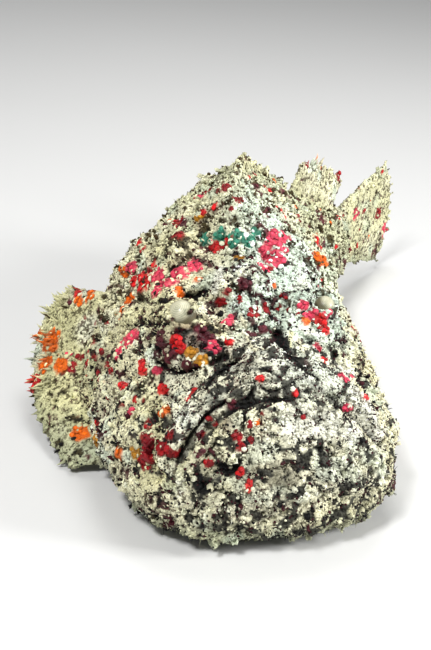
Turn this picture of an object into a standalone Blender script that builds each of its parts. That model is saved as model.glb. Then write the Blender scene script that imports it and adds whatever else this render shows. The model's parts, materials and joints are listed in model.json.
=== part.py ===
"""A reef stonefish at life size, resting on its belly with its tail turned to one side.

Metres, +Z up, the floor at Z 0. The fish faces -Y and its right side is at -X. Run it in
Blender 4.5 with: blender --background --python part.py
"""

import math
import random
from collections import namedtuple

import bmesh
import bpy
import numpy as np
from mathutils import Matrix, Vector

# Driving sizes of the fish
TOTAL_LENGTH = 0.300
CAUDAL_FIN_LENGTH = 0.058
FIN_ROOT_STATION = TOTAL_LENGTH - CAUDAL_FIN_LENGTH
NECK_STATION = 0.100
TAIL_STATION = 0.196
GAP = 0.0003
CUT_CLEARANCE = 0.0004

# The midline runs straight from the lips, then turns towards +X
BEND_START = 0.045
BEND_END = 0.215
TAIL_HEADING = math.radians(48)

# Body profile: station behind the lips, half width, back, belly, height of the widest point,
# and how round the back is over it: 2 is an ellipse and less is more like a tent
Station = namedtuple("Station", "at half_width back belly widest roundness")
PROFILE = (
    Station(0.044, 0.0475, 0.0620, -0.0030, 0.0200, 1.85),
    Station(0.062, 0.0495, 0.0705, -0.0030, 0.0210, 1.62),
    Station(0.080, 0.0510, 0.0820, -0.0030, 0.0220, 1.48),
    Station(0.100, 0.0510, 0.0900, -0.0030, 0.0240, 1.42),
    Station(0.120, 0.0480, 0.0915, -0.0030, 0.0260, 1.42),
    Station(0.140, 0.0415, 0.0875, -0.0030, 0.0280, 1.48),
    Station(0.162, 0.0325, 0.0780, -0.0010, 0.0300, 1.60),
    Station(0.184, 0.0235, 0.0660, 0.0030, 0.0310, 1.75),
    Station(0.206, 0.0160, 0.0552, 0.0090, 0.0310, 1.90),
    Station(0.226, 0.0112, 0.0468, 0.0138, 0.0300, 2.00),
    Station(0.237, 0.0082, 0.0442, 0.0158, 0.0300, 2.00),
    Station(0.244, 0.0052, 0.0424, 0.0176, 0.0300, 2.00),
)
FACE_DEPTH = PROFILE[0].at
FACE_BLUNTNESS = 2.8
CHIN_ROUNDING = 0.0001
BELLY_ROUNDNESS = 2.9
RING_SIDES = 64
TAIL_RING_SIDES = 40
FACE_RINGS = 19
HEAD_RING_STEP = 0.0039
TORSO_RING_STEP = 0.0045
TAIL_RING_STEP = 0.0049

# The mouth is an arch seen from the front, with its corners low and wide
MOUTH_HALF_WIDTH = 0.0350
MOUTH_TOP = 0.0550
MOUTH_CORNER = 0.0330
MOUTH_ARCH = 2.4
MOUTH_STEPS = 24
JAW_LIP_DEPTH = 0.0175
JAW_DEPTH = 0.040
JAW_BACK_HEIGHT = 0.45
JAW_FOOT = 0.0250
JAW_ARCH_STEPS = 22
JAW_BLOCK_FRONT = -0.03
JAW_BLOCK_FOOT = -0.02
UPPER_LIP_DEPTH = 0.0180
UPPER_LIP_AT_CORNER = 0.0040

# Rolls and folds along the mouth: rise, distance from the mouth's line, and reach. The band and
# the fold of the upper lip have their distances as shares of that lip's depth
LipRoll = namedtuple("LipRoll", "rise distance reach")
UPPER_LIP_EDGE = LipRoll(0.0030, 0.0042, 0.0040)
UPPER_LIP_BAND = LipRoll(0.0020, 0.62, 0.30)
UPPER_LIP_FOLD = LipRoll(-0.0028, 1.08, 0.0042)
LOWER_LIP_EDGE = LipRoll(0.0022, 0.0038, 0.0034)
MOUTH_GROOVE = LipRoll(-0.0018, 0.0, 0.0028)

# Eyes stand on knobs and look up, out and forward
EYE_RADIUS = 0.0044
EYE_SIDE = 0.0255
EYE_STATION = 0.0505
EYE_SUNK = 0.0004
EYE_LOOK = (0.45, -0.35, 0.10)
LID_RADIUS = 0.0050
LID_THICKNESS = 0.0014
LID_LIFT = 0.0006
NOSTRILS = ((0.0200, 0.0405), (0.0165, 0.0270))
NOSTRIL_RADIUS = 0.0012
NOSTRIL_DEPTH = 0.0035
NOSTRIL_RIM = 0.0011
NOSTRIL_RIM_RADIUS = 0.0018
NOSTRIL_CLEAR = 0.004
FACE_TOP_FROM = 0.05

# Skin warts
WART_COUNT = 190
WART_RADIUS = (0.0058, 0.0092)
WART_HEIGHT = (0.0014, 0.0030)
WART_SEED = 11
FIRST_WART = 0.010
WART_CROWDING = 0.86
WART_AT_TAIL = 0.65
FLOOR_CLEAR = 0.009

# One rounded form of the head or trunk: side offset, station, height, reach and rise
Form = namedtuple("Form", "side at height reach rise")
FORMS = {
    "eye knob": Form(0.0242, 0.0495, 0.060, 0.0090, 0.0125),
    "ridge behind the eye": Form(0.0250, 0.0650, 0.064, 0.0080, 0.0052),
    "pit beside the snout knob": Form(0.0135, 0.0335, 0.060, 0.0072, -0.0060),
    "hollow under the eye": Form(0.0300, 0.0350, 0.054, 0.0085, -0.0065),
    "slit under the hollow": Form(0.0390, 0.0340, 0.046, 0.0062, -0.0036),
    "snout knob": Form(0.0, 0.0310, 0.063, 0.0070, 0.0056),
    "saddle between the eyes": Form(0.0, 0.0480, 0.068, 0.0100, -0.0040),
    "pit inside the eye knob": Form(0.0135, 0.0560, 0.067, 0.0062, -0.0070),
    "lump behind the saddle": Form(0.0060, 0.0620, 0.073, 0.0070, 0.0050),
    "pit before the nape": Form(0.0095, 0.0740, 0.080, 0.0072, -0.0065),
    "nape hump": Form(0.0, 0.0920, 0.090, 0.0120, 0.0035),
    "crown lump": Form(0.0200, 0.0860, 0.072, 0.0095, 0.0060),
    "cheek": Form(0.0480, 0.0400, 0.028, 0.0130, 0.0030),
    "jaw muscle": Form(0.0530, 0.0560, 0.014, 0.0130, 0.0030),
    "cheek ridge": Form(0.0410, 0.0560, 0.044, 0.0080, 0.0036),
    "gill cover": Form(0.0500, 0.0800, 0.038, 0.0150, 0.0035),
    "gill slit": Form(0.0400, 0.0940, 0.058, 0.0065, -0.0035),
    "shoulder": Form(0.0380, 0.1100, 0.060, 0.0130, 0.0045),
    "flank hollow": Form(0.0400, 0.1300, 0.050, 0.0120, -0.0028),
    "chin": Form(0.0, 0.0080, 0.016, 0.0200, 0.0022),
}

# Fins
PECTORAL_RAYS = 18
PECTORAL_ROOT_SUNK = 0.006
WEB_HALF_THICKNESS = 0.00085
WEB_EDGE_HALF_THICKNESS = 0.00045
RAY_FLESH_SHARE = 0.42
FIN_ON_FLOOR = 0.0008

# Half thickness of a ray at its root and at its tip
PECTORAL_RAY = (0.0022, 0.0008)
CAUDAL_RAY = (0.0018, 0.0007)
ANAL_RAY = (0.0017, 0.0008)
PELVIC_RAY = (0.0017, 0.0009)

# The two fins along the back: stations of their first and last rays, height, how far the rays
# lean back for their height, half thickness of a ray at its root and tip, webs between two rays
# and how deep the edge is notched between them
BackFin = namedtuple("BackFin", "name rays start end height lean ray webs notch")
SPINY_FIN = BackFin(
    "dorsal_fin_spiny", 13, 0.099, 0.184, 0.0070, 1.10, (0.0034, 0.0017), 2, 0.30
)
SOFT_FIN = BackFin("dorsal_fin_soft", 7, 0.190, 0.230, 0.0200, 0.80, (0.0020, 0.0009), 1, 0.14)
BACK_FIN_SUNK = 0.005
BACK_FIN_SWAY = 0.0012
BACK_FIN_CURVE = 0.0015

# The rounded tail fin, with its outer rays' length and its bend as shares of its own size
CAUDAL_RAYS = 12
CAUDAL_HALF_HEIGHT = 0.0265
CAUDAL_ROOT_SUNK = 0.006
CAUDAL_ROOT_INSET = 0.001
CAUDAL_OUTER_RAYS = 0.80
CAUDAL_BEND_OUT = 0.42
CAUDAL_BEND_SPREAD = 0.80

# The anal fin is folded over to one side
ANAL_RAYS = 8
ANAL_START = 0.170
ANAL_END = 0.224
ANAL_ROOT_SIDE = 0.001
ANAL_ROOT_SUNK = 0.005
ANAL_BEND_SIDE = 0.003
ANAL_BEND_DROP = 0.003
ANAL_BEND_LOWEST = 0.0015
ANAL_BEND_BACK = 0.004
ANAL_REACH = (0.012, 0.022)
ANAL_TIP_SIDE = 0.45
ANAL_TIP_BACK = 0.9
ANAL_TIP_HEIGHT = 0.0012

# A pelvic fin: side offset, station and height at its first and at its last ray
PELVIC_RAYS = 5
PELVIC_ROOT = ((0.033, 0.070, 0.0030), (0.029, 0.100, 0.0030))
PELVIC_BEND = ((0.045, 0.082, 0.0024), (0.039, 0.112, 0.0024))
PELVIC_TIP = ((0.058, 0.102, 0.0014), (0.038, 0.136, 0.0014))
PELVIC_OUTER_RAYS = 0.85

SKIN_COLOUR = (0.62, 0.60, 0.50)
LIP_COLOUR = (0.34, 0.33, 0.31)
FIN_COLOUR = (0.66, 0.50, 0.38)
SPINE_COLOUR = (0.60, 0.42, 0.38)
EYE_COLOUR = (0.70, 0.74, 0.60)


def clear_scene():
    """Removes the objects that Blender starts with."""
    for obj in list(bpy.data.objects):
        bpy.data.objects.remove(obj)


def make_material(name, colour, roughness):
    """A plain finish from the photo's colours."""
    material = bpy.data.materials.new(name)
    material.use_nodes = True
    shader = material.node_tree.nodes["Principled BSDF"]
    shader.inputs["Base Color"].default_value = (*colour, 1.0)
    shader.inputs["Roughness"].default_value = roughness
    shader.inputs["Metallic"].default_value = 0.0
    return material


def new_collection(name):
    """A collection in the scene."""
    collection = bpy.data.collections.new(name)
    bpy.context.scene.collection.children.link(collection)
    return collection


def mesh_object(name, points, faces, collection, material=None):
    """An object of a mesh from points and faces."""
    mesh = bpy.data.meshes.new(name)
    mesh.from_pydata([tuple(p) for p in points], [], faces)
    mesh.update()
    obj = bpy.data.objects.new(name, mesh)
    if material is not None:
        mesh.materials.append(material)
    collection.objects.link(obj)
    return obj


def split_into_triangles(obj):
    """Splits every face, so that a later copy of obj has the same triangles."""
    shape = bmesh.new()
    shape.from_mesh(obj.data)
    bmesh.ops.triangulate(shape, faces=shape.faces)
    shape.to_mesh(obj.data)
    shape.free()


# The body's frame: a curved midline and a section across it


def smooth_step(value):
    """0 to 1 with flat ends."""
    value = np.clip(value, 0.0, 1.0)
    return value * value * (3.0 - 2.0 * value)


def heading_at(station):
    """How far the midline has turned towards +X at a station."""
    return TAIL_HEADING * smooth_step((station - BEND_START) / (BEND_END - BEND_START))


MIDLINE_STEPS = 600
MIDLINE_STATIONS = np.linspace(-0.02, TOTAL_LENGTH + 0.04, MIDLINE_STEPS)
MIDLINE_STEP = MIDLINE_STATIONS[1] - MIDLINE_STATIONS[0]
MIDLINE_X = np.cumsum(np.sin(heading_at(MIDLINE_STATIONS))) * MIDLINE_STEP
MIDLINE_Y = np.cumsum(np.cos(heading_at(MIDLINE_STATIONS))) * MIDLINE_STEP


def to_world(side, station, height):
    """A point of the bent fish from its offset to the side, station and height."""
    turn = heading_at(station)
    x = np.interp(station, MIDLINE_STATIONS, MIDLINE_X) + side * np.cos(turn)
    y = np.interp(station, MIDLINE_STATIONS, MIDLINE_Y) - side * np.sin(turn)
    return np.stack(np.broadcast_arrays(x, y, height), axis=-1)


def profile_at(station, field):
    """A smooth curve through the profile's values of one field."""
    at = np.array([row.at for row in PROFILE])
    values = np.array([getattr(row, field) for row in PROFILE])
    slopes = np.gradient(values, at)
    station = np.clip(station, at[0], at[-1])
    i = np.clip(np.searchsorted(at, station) - 1, 0, len(at) - 2)
    width = at[i + 1] - at[i]
    t = (station - at[i]) / width
    start = (1 + 2 * t) * (1 - t) ** 2 * values[i] + t * (1 - t) ** 2 * width * slopes[i]
    end = t * t * (3 - 2 * t) * values[i + 1] + t * t * (t - 1) * width * slopes[i + 1]
    return start + end


def section(station, angle, share=1.0):
    """Side offset and height of the plain body, with angle 0 at the back and 90 at +X."""
    half_width = profile_at(station, "half_width") * share
    widest = profile_at(station, "widest")
    back = (profile_at(station, "back") - widest) * share
    belly = (widest - profile_at(station, "belly")) * share
    across, up = np.sin(angle), np.cos(angle)
    power = 2.0 / np.where(up > 0, profile_at(station, "roundness"), BELLY_ROUNDNESS)
    side = half_width * np.sign(across) * np.abs(across) ** power
    rise = np.sign(up) * np.abs(up) ** power
    height = widest + np.where(up > 0, rise * back, rise * belly)
    return side, height


def face_ring(turn):
    """Station and share of the full section for a ring of the rounded face."""
    share = math.sin(turn) ** (2.0 / FACE_BLUNTNESS)
    depth = math.cos(turn) ** (2.0 / FACE_BLUNTNESS)
    return FACE_DEPTH * (1.0 - depth), share


def plain_rings(stations, shares, sides):
    """Side, station and height of the plain body at every ring and angle."""
    angle = np.linspace(0.0, 2.0 * math.pi, sides, endpoint=False)
    grid = []
    for station, share in zip(stations, shares):
        side, height = section(max(station, FACE_DEPTH), angle, share)
        grid.append(np.stack([side, np.full_like(side, station), height], axis=-1))
    return np.array(grid)


def grid_normals(grid):
    """Outward normals of a closed ring grid, in its own unbent frame."""
    around = np.roll(grid, -1, axis=1) - np.roll(grid, 1, axis=1)
    along = np.gradient(grid, axis=0)
    normals = np.cross(around, along)
    length = np.linalg.norm(normals, axis=-1, keepdims=True)
    return normals / np.maximum(length, 1e-12)


# Relief of the skin: knobs, pits, lips and warts


def mouth_height(side):
    """Height of the mouth's line at an offset to the side."""
    across = np.clip(np.abs(side) / MOUTH_HALF_WIDTH, 0.0, 1.0)
    return MOUTH_CORNER + (MOUTH_TOP - MOUTH_CORNER) * (1.0 - across**MOUTH_ARCH)


def bell(distance, reach):
    """A smooth bump of height 1."""
    return np.exp(-((distance / reach) ** 2))


def mouth_line():
    """Points along the mouth on the plain face, from the right corner to the left one."""
    sides = np.linspace(-MOUTH_HALF_WIDTH, MOUTH_HALF_WIDTH, MOUTH_STEPS + 1)
    heights = mouth_height(sides)
    first = PROFILE[0]
    across = np.abs(sides) / first.half_width
    up = np.abs(heights - first.widest) / (first.back - first.widest)
    share = (across**first.roundness + up**first.roundness) ** (1.0 / first.roundness)
    depth = (1.0 - np.minimum(share, 1.0) ** FACE_BLUNTNESS) ** (1.0 / FACE_BLUNTNESS)
    return np.stack([sides, FACE_DEPTH * (1.0 - depth), heights], axis=-1)


def mouth_distance(points):
    """Distance from the mouth's line, and whether a point is above it."""
    line = mouth_line()
    offsets = points[..., None, :] - line
    nearest = np.linalg.norm(offsets, axis=-1).min(axis=-1)
    above = points[..., 2] > mouth_height(points[..., 0])
    within = np.abs(points[..., 0]) < MOUTH_HALF_WIDTH
    return nearest, above | ~within


def lip_relief(points):
    """Rolled lips, the mouth's groove and the fold behind the upper lip."""
    distance, above = mouth_distance(points)
    across = np.clip(np.abs(points[..., 0]) / MOUTH_HALF_WIDTH, 0.0, 1.0)
    depth = UPPER_LIP_AT_CORNER + (UPPER_LIP_DEPTH - UPPER_LIP_AT_CORNER) * (1.0 - across**5)
    edge, band, fold = UPPER_LIP_EDGE, UPPER_LIP_BAND, UPPER_LIP_FOLD
    upper = (
        edge.rise * bell(distance - edge.distance, edge.reach)
        + band.rise * bell(distance - band.distance * depth, band.reach * depth)
        + fold.rise * bell(distance - fold.distance * depth, fold.reach)
    )
    lower = LOWER_LIP_EDGE.rise * bell(distance - LOWER_LIP_EDGE.distance, LOWER_LIP_EDGE.reach)
    groove = MOUTH_GROOVE.rise * bell(distance - MOUTH_GROOVE.distance, MOUTH_GROOVE.reach)
    return np.where(above, upper, lower) + groove


def form_relief(points):
    """The head's knobs, pits and ridges, on both sides."""
    total = np.zeros(points.shape[:-1])
    for form in FORMS.values():
        for mirror in (1.0, -1.0) if form.side else (1.0,):
            centre = np.array([mirror * form.side, form.at, form.height])
            distance = np.linalg.norm(points - centre, axis=-1)
            total += form.rise * bell(distance, form.reach)
    return total


def wart_places():
    """Centres, reach and height of the warts, spread evenly round and along the body."""
    draw = random.Random(WART_SEED)
    golden = math.pi * (3.0 - math.sqrt(5.0))
    places = []
    for n in range(WART_COUNT):
        along = (n + 0.5) / WART_COUNT
        station = FIRST_WART + (FIN_ROOT_STATION - FIRST_WART) * along**WART_CROWDING
        angle = np.array([n * golden + draw.uniform(-0.2, 0.2)])
        if station < FACE_DEPTH:
            turn = math.acos((1.0 - station / FACE_DEPTH) ** (FACE_BLUNTNESS / 2.0))
            share = face_ring(turn)[1]
        else:
            share = 1.0
        side, height = section(max(station, FACE_DEPTH), angle, share)
        size = WART_AT_TAIL + (1.0 - WART_AT_TAIL) * (1.0 - along)
        reach = draw.uniform(*WART_RADIUS) * size
        rise = draw.uniform(*WART_HEIGHT) * size
        places.append((side[0], station, height[0], reach, rise))
    return np.array(places)


WARTS = wart_places()


def wart_relief(points):
    """Rounded warts, each no higher than its own rise."""
    total = np.zeros(points.shape[:-1])
    for side, station, height, reach, rise in WARTS:
        distance = np.linalg.norm(points - np.array([side, station, height]), axis=-1)
        near = np.clip(1.0 - (distance / reach) ** 2, 0.0, 1.0)
        total = np.maximum(total, rise * near**1.5)
    return total


def skin_relief(points):
    """How far the skin stands off the plain body."""
    lips = lip_relief(points)
    bare = 1.0 - 0.8 * smooth_step(np.abs(lips) / 0.0015)
    rise = form_relief(points) + lips + wart_relief(points) * bare
    return rise * smooth_step((points[..., 2] - 0.001) / FLOOR_CLEAR)


def dressed_rings(stations, shares, sides, flat_ends):
    """Ring points with the relief, in the unbent frame, with flat end rings kept flat."""
    grid = plain_rings(stations, shares, sides)
    normals = grid_normals(grid)
    dressed = grid + normals * skin_relief(grid)[..., None]
    for ring in flat_ends:
        dressed[ring, :, 1] = stations[ring]
    dressed[..., 2] = np.maximum(dressed[..., 2], 0.0)
    return dressed


def loft(name, grid, pole, collection, material):
    """A closed surface through rings of points, with a pole at its front or flat ends."""
    rings, sides = grid.shape[:2]
    points = list(to_world(grid[..., 0], grid[..., 1], grid[..., 2]).reshape(-1, 3))
    faces = []
    for r in range(rings - 1):
        for k in range(sides):
            here, there = r * sides + k, r * sides + (k + 1) % sides
            faces.append((here, there, there + sides, here + sides))
    if pole is None:
        faces.append(tuple(reversed(range(sides))))
    else:
        points.append(to_world(*pole))
        tip = len(points) - 1
        faces += [(tip, (k + 1) % sides, k) for k in range(sides)]
    faces.append(tuple(range((rings - 1) * sides, rings * sides)))
    body = mesh_object(name, points, faces, collection, material)
    split_into_triangles(body)
    return body


# Joining and cutting


def apply_boolean(obj, other, operation, solver="EXACT"):
    """Cuts or joins obj with other and keeps the result in obj's own mesh."""
    modifier = obj.modifiers.new(operation, "BOOLEAN")
    modifier.operation = operation
    modifier.solver = solver
    if isinstance(other, bpy.types.Collection):
        modifier.operand_type = "COLLECTION"
        modifier.collection = other
    else:
        modifier.object = other
    graph = bpy.context.evaluated_depsgraph_get()
    mesh = bpy.data.meshes.new_from_object(obj.evaluated_get(graph))
    obj.modifiers.clear()
    old = obj.data
    obj.data = mesh
    bpy.data.meshes.remove(old)


def keep_largest(obj):
    """Drops every loose piece of obj but the largest."""
    shape = bmesh.new()
    shape.from_mesh(obj.data)
    bmesh.ops.triangulate(shape, faces=shape.faces)
    left = set(shape.faces)
    islands = []
    while left:
        seed = left.pop()
        island, front = {seed}, [seed]
        while front:
            face = front.pop()
            for edge in face.edges:
                for near in edge.link_faces:
                    if near in left:
                        left.discard(near)
                        island.add(near)
                        front.append(near)
        islands.append(island)
    largest = max(islands, key=lambda faces: sum(face.calc_area() for face in faces))
    extra = [face for face in shape.faces if face not in largest]
    bmesh.ops.delete(shape, geom=extra, context="FACES")
    shape.to_mesh(obj.data)
    shape.free()


def grown_copy(obj, collection):
    """A helper a little larger than obj, which leaves the gap between touching pieces."""
    copy = bpy.data.objects.new(obj.name + "_grown", obj.data.copy())
    collection.objects.link(copy)
    shape = bmesh.new()
    shape.from_mesh(copy.data)
    bmesh.ops.triangulate(shape, faces=shape.faces)
    shape.normal_update()
    moves = {vertex: vertex.normal * CUT_CLEARANCE for vertex in shape.verts}
    for vertex, move in moves.items():
        vertex.co += move
    shape.to_mesh(copy.data)
    shape.free()
    copy.hide_render = True
    copy.display_type = "WIRE"
    return copy


def cut_clear(obj, bodies, helpers):
    """Cuts obj back to a small gap from each of the bodies that it grows from."""
    for body in bodies:
        helper = grown_copy(body, helpers)
        apply_boolean(obj, helper, "DIFFERENCE", solver="MANIFOLD")
        bpy.data.objects.remove(helper)
    keep_largest(obj)


# Head


def build_head(collection, material):
    """The whole head from the chin to the neck, still with its jaw."""
    turns = np.linspace(0.0, 0.5 * math.pi, FACE_RINGS + 1)[1:]
    rings = [face_ring(turn) for turn in turns]
    count = round((NECK_STATION - FACE_DEPTH) / HEAD_RING_STEP)
    trunk = np.linspace(FACE_DEPTH, NECK_STATION - GAP / 2, count + 1)[1:]
    stations = [station for station, _ in rings] + list(trunk)
    shares = [share for _, share in rings] + [1.0] * len(trunk)
    grid = dressed_rings(stations, shares, RING_SIDES, [-1])
    pole = np.array([0.0, grid[0, :, 1].mean() - CHIN_ROUNDING, grid[0, :, 2].mean()])
    return loft("head", grid, pole, collection, material)


def jaw_outline(grow):
    """Front view of the jaw's region as a closed outline, a little larger by grow."""
    sides = np.linspace(-MOUTH_HALF_WIDTH, MOUTH_HALF_WIDTH, JAW_ARCH_STEPS + 1)
    arch = [(side, float(mouth_height(side))) for side in sides]
    cheeks = [(JAW_FOOT + (MOUTH_HALF_WIDTH - JAW_FOOT) * math.sin(0.5 * math.pi * share),
               MOUTH_CORNER * share) for share in (0.0, 0.25, 0.5, 0.75)]
    below = (JAW_FOOT, JAW_BLOCK_FOOT)
    right = [below, *cheeks]
    left = [(-side, height) for side, height in right]
    outline = [*left, *arch, *reversed(right)]
    if not grow:
        return outline
    moved = []
    for n, point in enumerate(outline):
        before, after = outline[n - 1], outline[(n + 1) % len(outline)]
        tangent = Vector((after[0] - before[0], after[1] - before[1])).normalized()
        moved.append((point[0] - tangent.y * grow, point[1] + tangent.x * grow))
    return moved


def jaw_block(name, grow, collection):
    """The jaw's region of the head, as a prism along the fish."""
    outline = jaw_outline(grow)
    count = len(outline)
    cuts = ((JAW_BLOCK_FRONT, 1.0), (JAW_LIP_DEPTH + grow, 1.0), (JAW_DEPTH + grow, JAW_BACK_HEIGHT))
    points = []
    for station, lower in cuts:
        points += [to_world(side, station, height * lower) for side, height in outline]
    faces = []
    for ring in range(len(cuts) - 1):
        for k in range(count):
            here, after = ring * count + k, ring * count + (k + 1) % count
            faces.append((here, here + count, after + count, after))
    last = (len(cuts) - 1) * count
    faces += [tuple(range(count)), tuple(reversed(range(last, last + count)))]
    block = mesh_object(name, points, faces, collection)
    shape = bmesh.new()
    shape.from_mesh(block.data)
    bmesh.ops.recalc_face_normals(shape, faces=shape.faces)
    shape.to_mesh(block.data)
    shape.free()
    block.hide_render = True
    block.display_type = "WIRE"
    return block


def part_jaw(head, collection, helpers, material):
    """Parts the lower jaw from the head along the mouth."""
    jaw = bpy.data.objects.new("lower_jaw", head.data.copy())
    jaw.data.materials.clear()
    jaw.data.materials.append(material)
    collection.objects.link(jaw)
    block = jaw_block("jaw_block", 0.0, helpers)
    apply_boolean(jaw, block, "INTERSECT")
    keep_largest(jaw)
    wide_block = jaw_block("jaw_block_wide", CUT_CLEARANCE, helpers)
    apply_boolean(head, wide_block, "DIFFERENCE")
    keep_largest(head)
    for block in (block, wide_block):
        bpy.data.objects.remove(block)
    return jaw


def surface_spot(side, station):
    """World point and outward normal of the dressed head above a side offset and station."""
    angles = np.radians(np.linspace(-75.0, 75.0, 301))
    turns = np.linspace(0.05, 0.5 * math.pi, 90)
    rings = [face_ring(turn) for turn in turns]
    trunk = np.linspace(FACE_DEPTH, 0.09, 60)[1:]
    stations = [s for s, _ in rings] + list(trunk)
    shares = [share for _, share in rings] + [1.0] * len(trunk)
    grid = []
    for ring_station, share in zip(stations, shares):
        across, height = section(max(ring_station, FACE_DEPTH), angles, share)
        grid.append(np.stack([across, np.full_like(across, ring_station), height], axis=-1))
    grid = np.array(grid)
    around, along = np.gradient(grid, axis=1), np.gradient(grid, axis=0)
    normals = np.cross(around, along)
    normals /= np.maximum(np.linalg.norm(normals, axis=-1, keepdims=True), 1e-12)
    grid = grid + normals * skin_relief(grid)[..., None]
    gap = np.hypot(grid[..., 0] - side, grid[..., 1] - station)
    gap = np.where(grid[..., 2] > FACE_TOP_FROM, gap, 1.0)
    row, column = np.unravel_index(np.argmin(gap), gap.shape)
    row, column = int(np.clip(row, 2, len(grid) - 3)), int(np.clip(column, 2, 298))
    across = grid[row, column + 2] - grid[row, column - 2]
    back = grid[row + 2, column] - grid[row - 2, column]
    normal = np.cross(across, back)
    return Vector(to_world(*grid[row, column])), Vector(normal).normalized()


def ball(name, centre, radius, collection, sides=18, rings=11):
    """A closed sphere."""
    shape = bmesh.new()
    bmesh.ops.create_uvsphere(shape, u_segments=sides, v_segments=rings, radius=radius)
    bmesh.ops.translate(shape, verts=shape.verts, vec=centre)
    mesh = bpy.data.meshes.new(name)
    shape.to_mesh(mesh)
    shape.free()
    obj = bpy.data.objects.new(name, mesh)
    collection.objects.link(obj)
    return obj


def ring_of_skin(name, centre, normal, radius, thickness, collection, sides=16):
    """A closed ring of skin, such as lids or a nostril's rim."""
    bpy.ops.mesh.primitive_torus_add(
        major_radius=radius,
        minor_radius=thickness,
        major_segments=sides,
        minor_segments=6,
        location=centre,
        rotation=normal.to_track_quat("Z", "Y").to_euler(),
    )
    ring = bpy.context.object
    ring.name = name
    for owner in list(ring.users_collection):
        owner.objects.unlink(ring)
    collection.objects.link(ring)
    ring.data.transform(ring.matrix_world)
    ring.matrix_world = Matrix.Identity(4)
    return ring


def rod(name, start, end, radius, collection, sides=10):
    """A closed round rod between two points."""
    shape = bmesh.new()
    length = (end - start).length
    bmesh.ops.create_cone(
        shape, cap_ends=True, segments=sides, radius1=radius, radius2=radius, depth=length
    )
    turn = (end - start).to_track_quat("Z", "Y").to_matrix().to_4x4()
    place = Matrix.Translation((start + end) / 2) @ turn
    bmesh.ops.transform(shape, matrix=place, verts=shape.verts)
    mesh = bpy.data.meshes.new(name)
    shape.to_mesh(mesh)
    shape.free()
    obj = bpy.data.objects.new(name, mesh)
    collection.objects.link(obj)
    return obj


def fit_eyes_and_nostrils(head, collection, helpers, material):
    """Lids and nostril rims joined to the head, sockets cut in it, and the eyes set in them."""
    rims = new_collection("rims")
    eyes = []
    holes = []
    for mirror, side_name in ((-1, "right"), (1, "left")):
        spot, normal = surface_spot(mirror * EYE_SIDE, EYE_STATION)
        out, ahead, up = EYE_LOOK
        look = (normal + Vector((mirror * out, ahead, up))).normalized()
        centre = spot - look * EYE_SUNK
        ring_of_skin("lid", centre + look * LID_LIFT, look, LID_RADIUS, LID_THICKNESS, rims)
        eyes.append((f"eye_{side_name}", centre))
        for across, at in NOSTRILS:
            spot, normal = surface_spot(mirror * across, at)
            ring_of_skin("nostril", spot, normal, NOSTRIL_RIM_RADIUS, NOSTRIL_RIM, rims, sides=12)
            holes.append((spot + normal * NOSTRIL_CLEAR, spot - normal * NOSTRIL_DEPTH))
    apply_boolean(head, rims, "UNION", solver="MANIFOLD")
    for rim in list(rims.objects):
        bpy.data.objects.remove(rim)
    bpy.data.collections.remove(rims)
    for start, end in holes:
        hole = rod("hole", start, end, NOSTRIL_RADIUS, helpers)
        apply_boolean(head, hole, "DIFFERENCE", solver="MANIFOLD")
        bpy.data.objects.remove(hole)
    for name, centre in eyes:
        socket = ball("socket", centre, EYE_RADIUS + CUT_CLEARANCE, helpers)
        apply_boolean(head, socket, "DIFFERENCE", solver="MANIFOLD")
        bpy.data.objects.remove(socket)
        eye = ball(name, centre, EYE_RADIUS, collection)
        eye.data.materials.append(material)
    keep_largest(head)


# Trunk


def build_trunk(collection, skin):
    """The torso behind the neck and the tail behind it."""
    count = round((TAIL_STATION - NECK_STATION) / TORSO_RING_STEP)
    stations = np.linspace(NECK_STATION + GAP / 2, TAIL_STATION - GAP / 2, count + 1)
    grid = dressed_rings(stations, [1.0] * len(stations), RING_SIDES, [0, -1])
    torso = loft("torso", grid, None, collection, skin)
    count = round((FIN_ROOT_STATION - TAIL_STATION) / TAIL_RING_STEP)
    stations = np.linspace(TAIL_STATION + GAP / 2, FIN_ROOT_STATION, count + 1)
    grid = dressed_rings(stations, [1.0] * len(stations), TAIL_RING_SIDES, [0, -1])
    tail = loft("tail", grid, None, collection, skin)
    return torso, tail


# Fins


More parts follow.
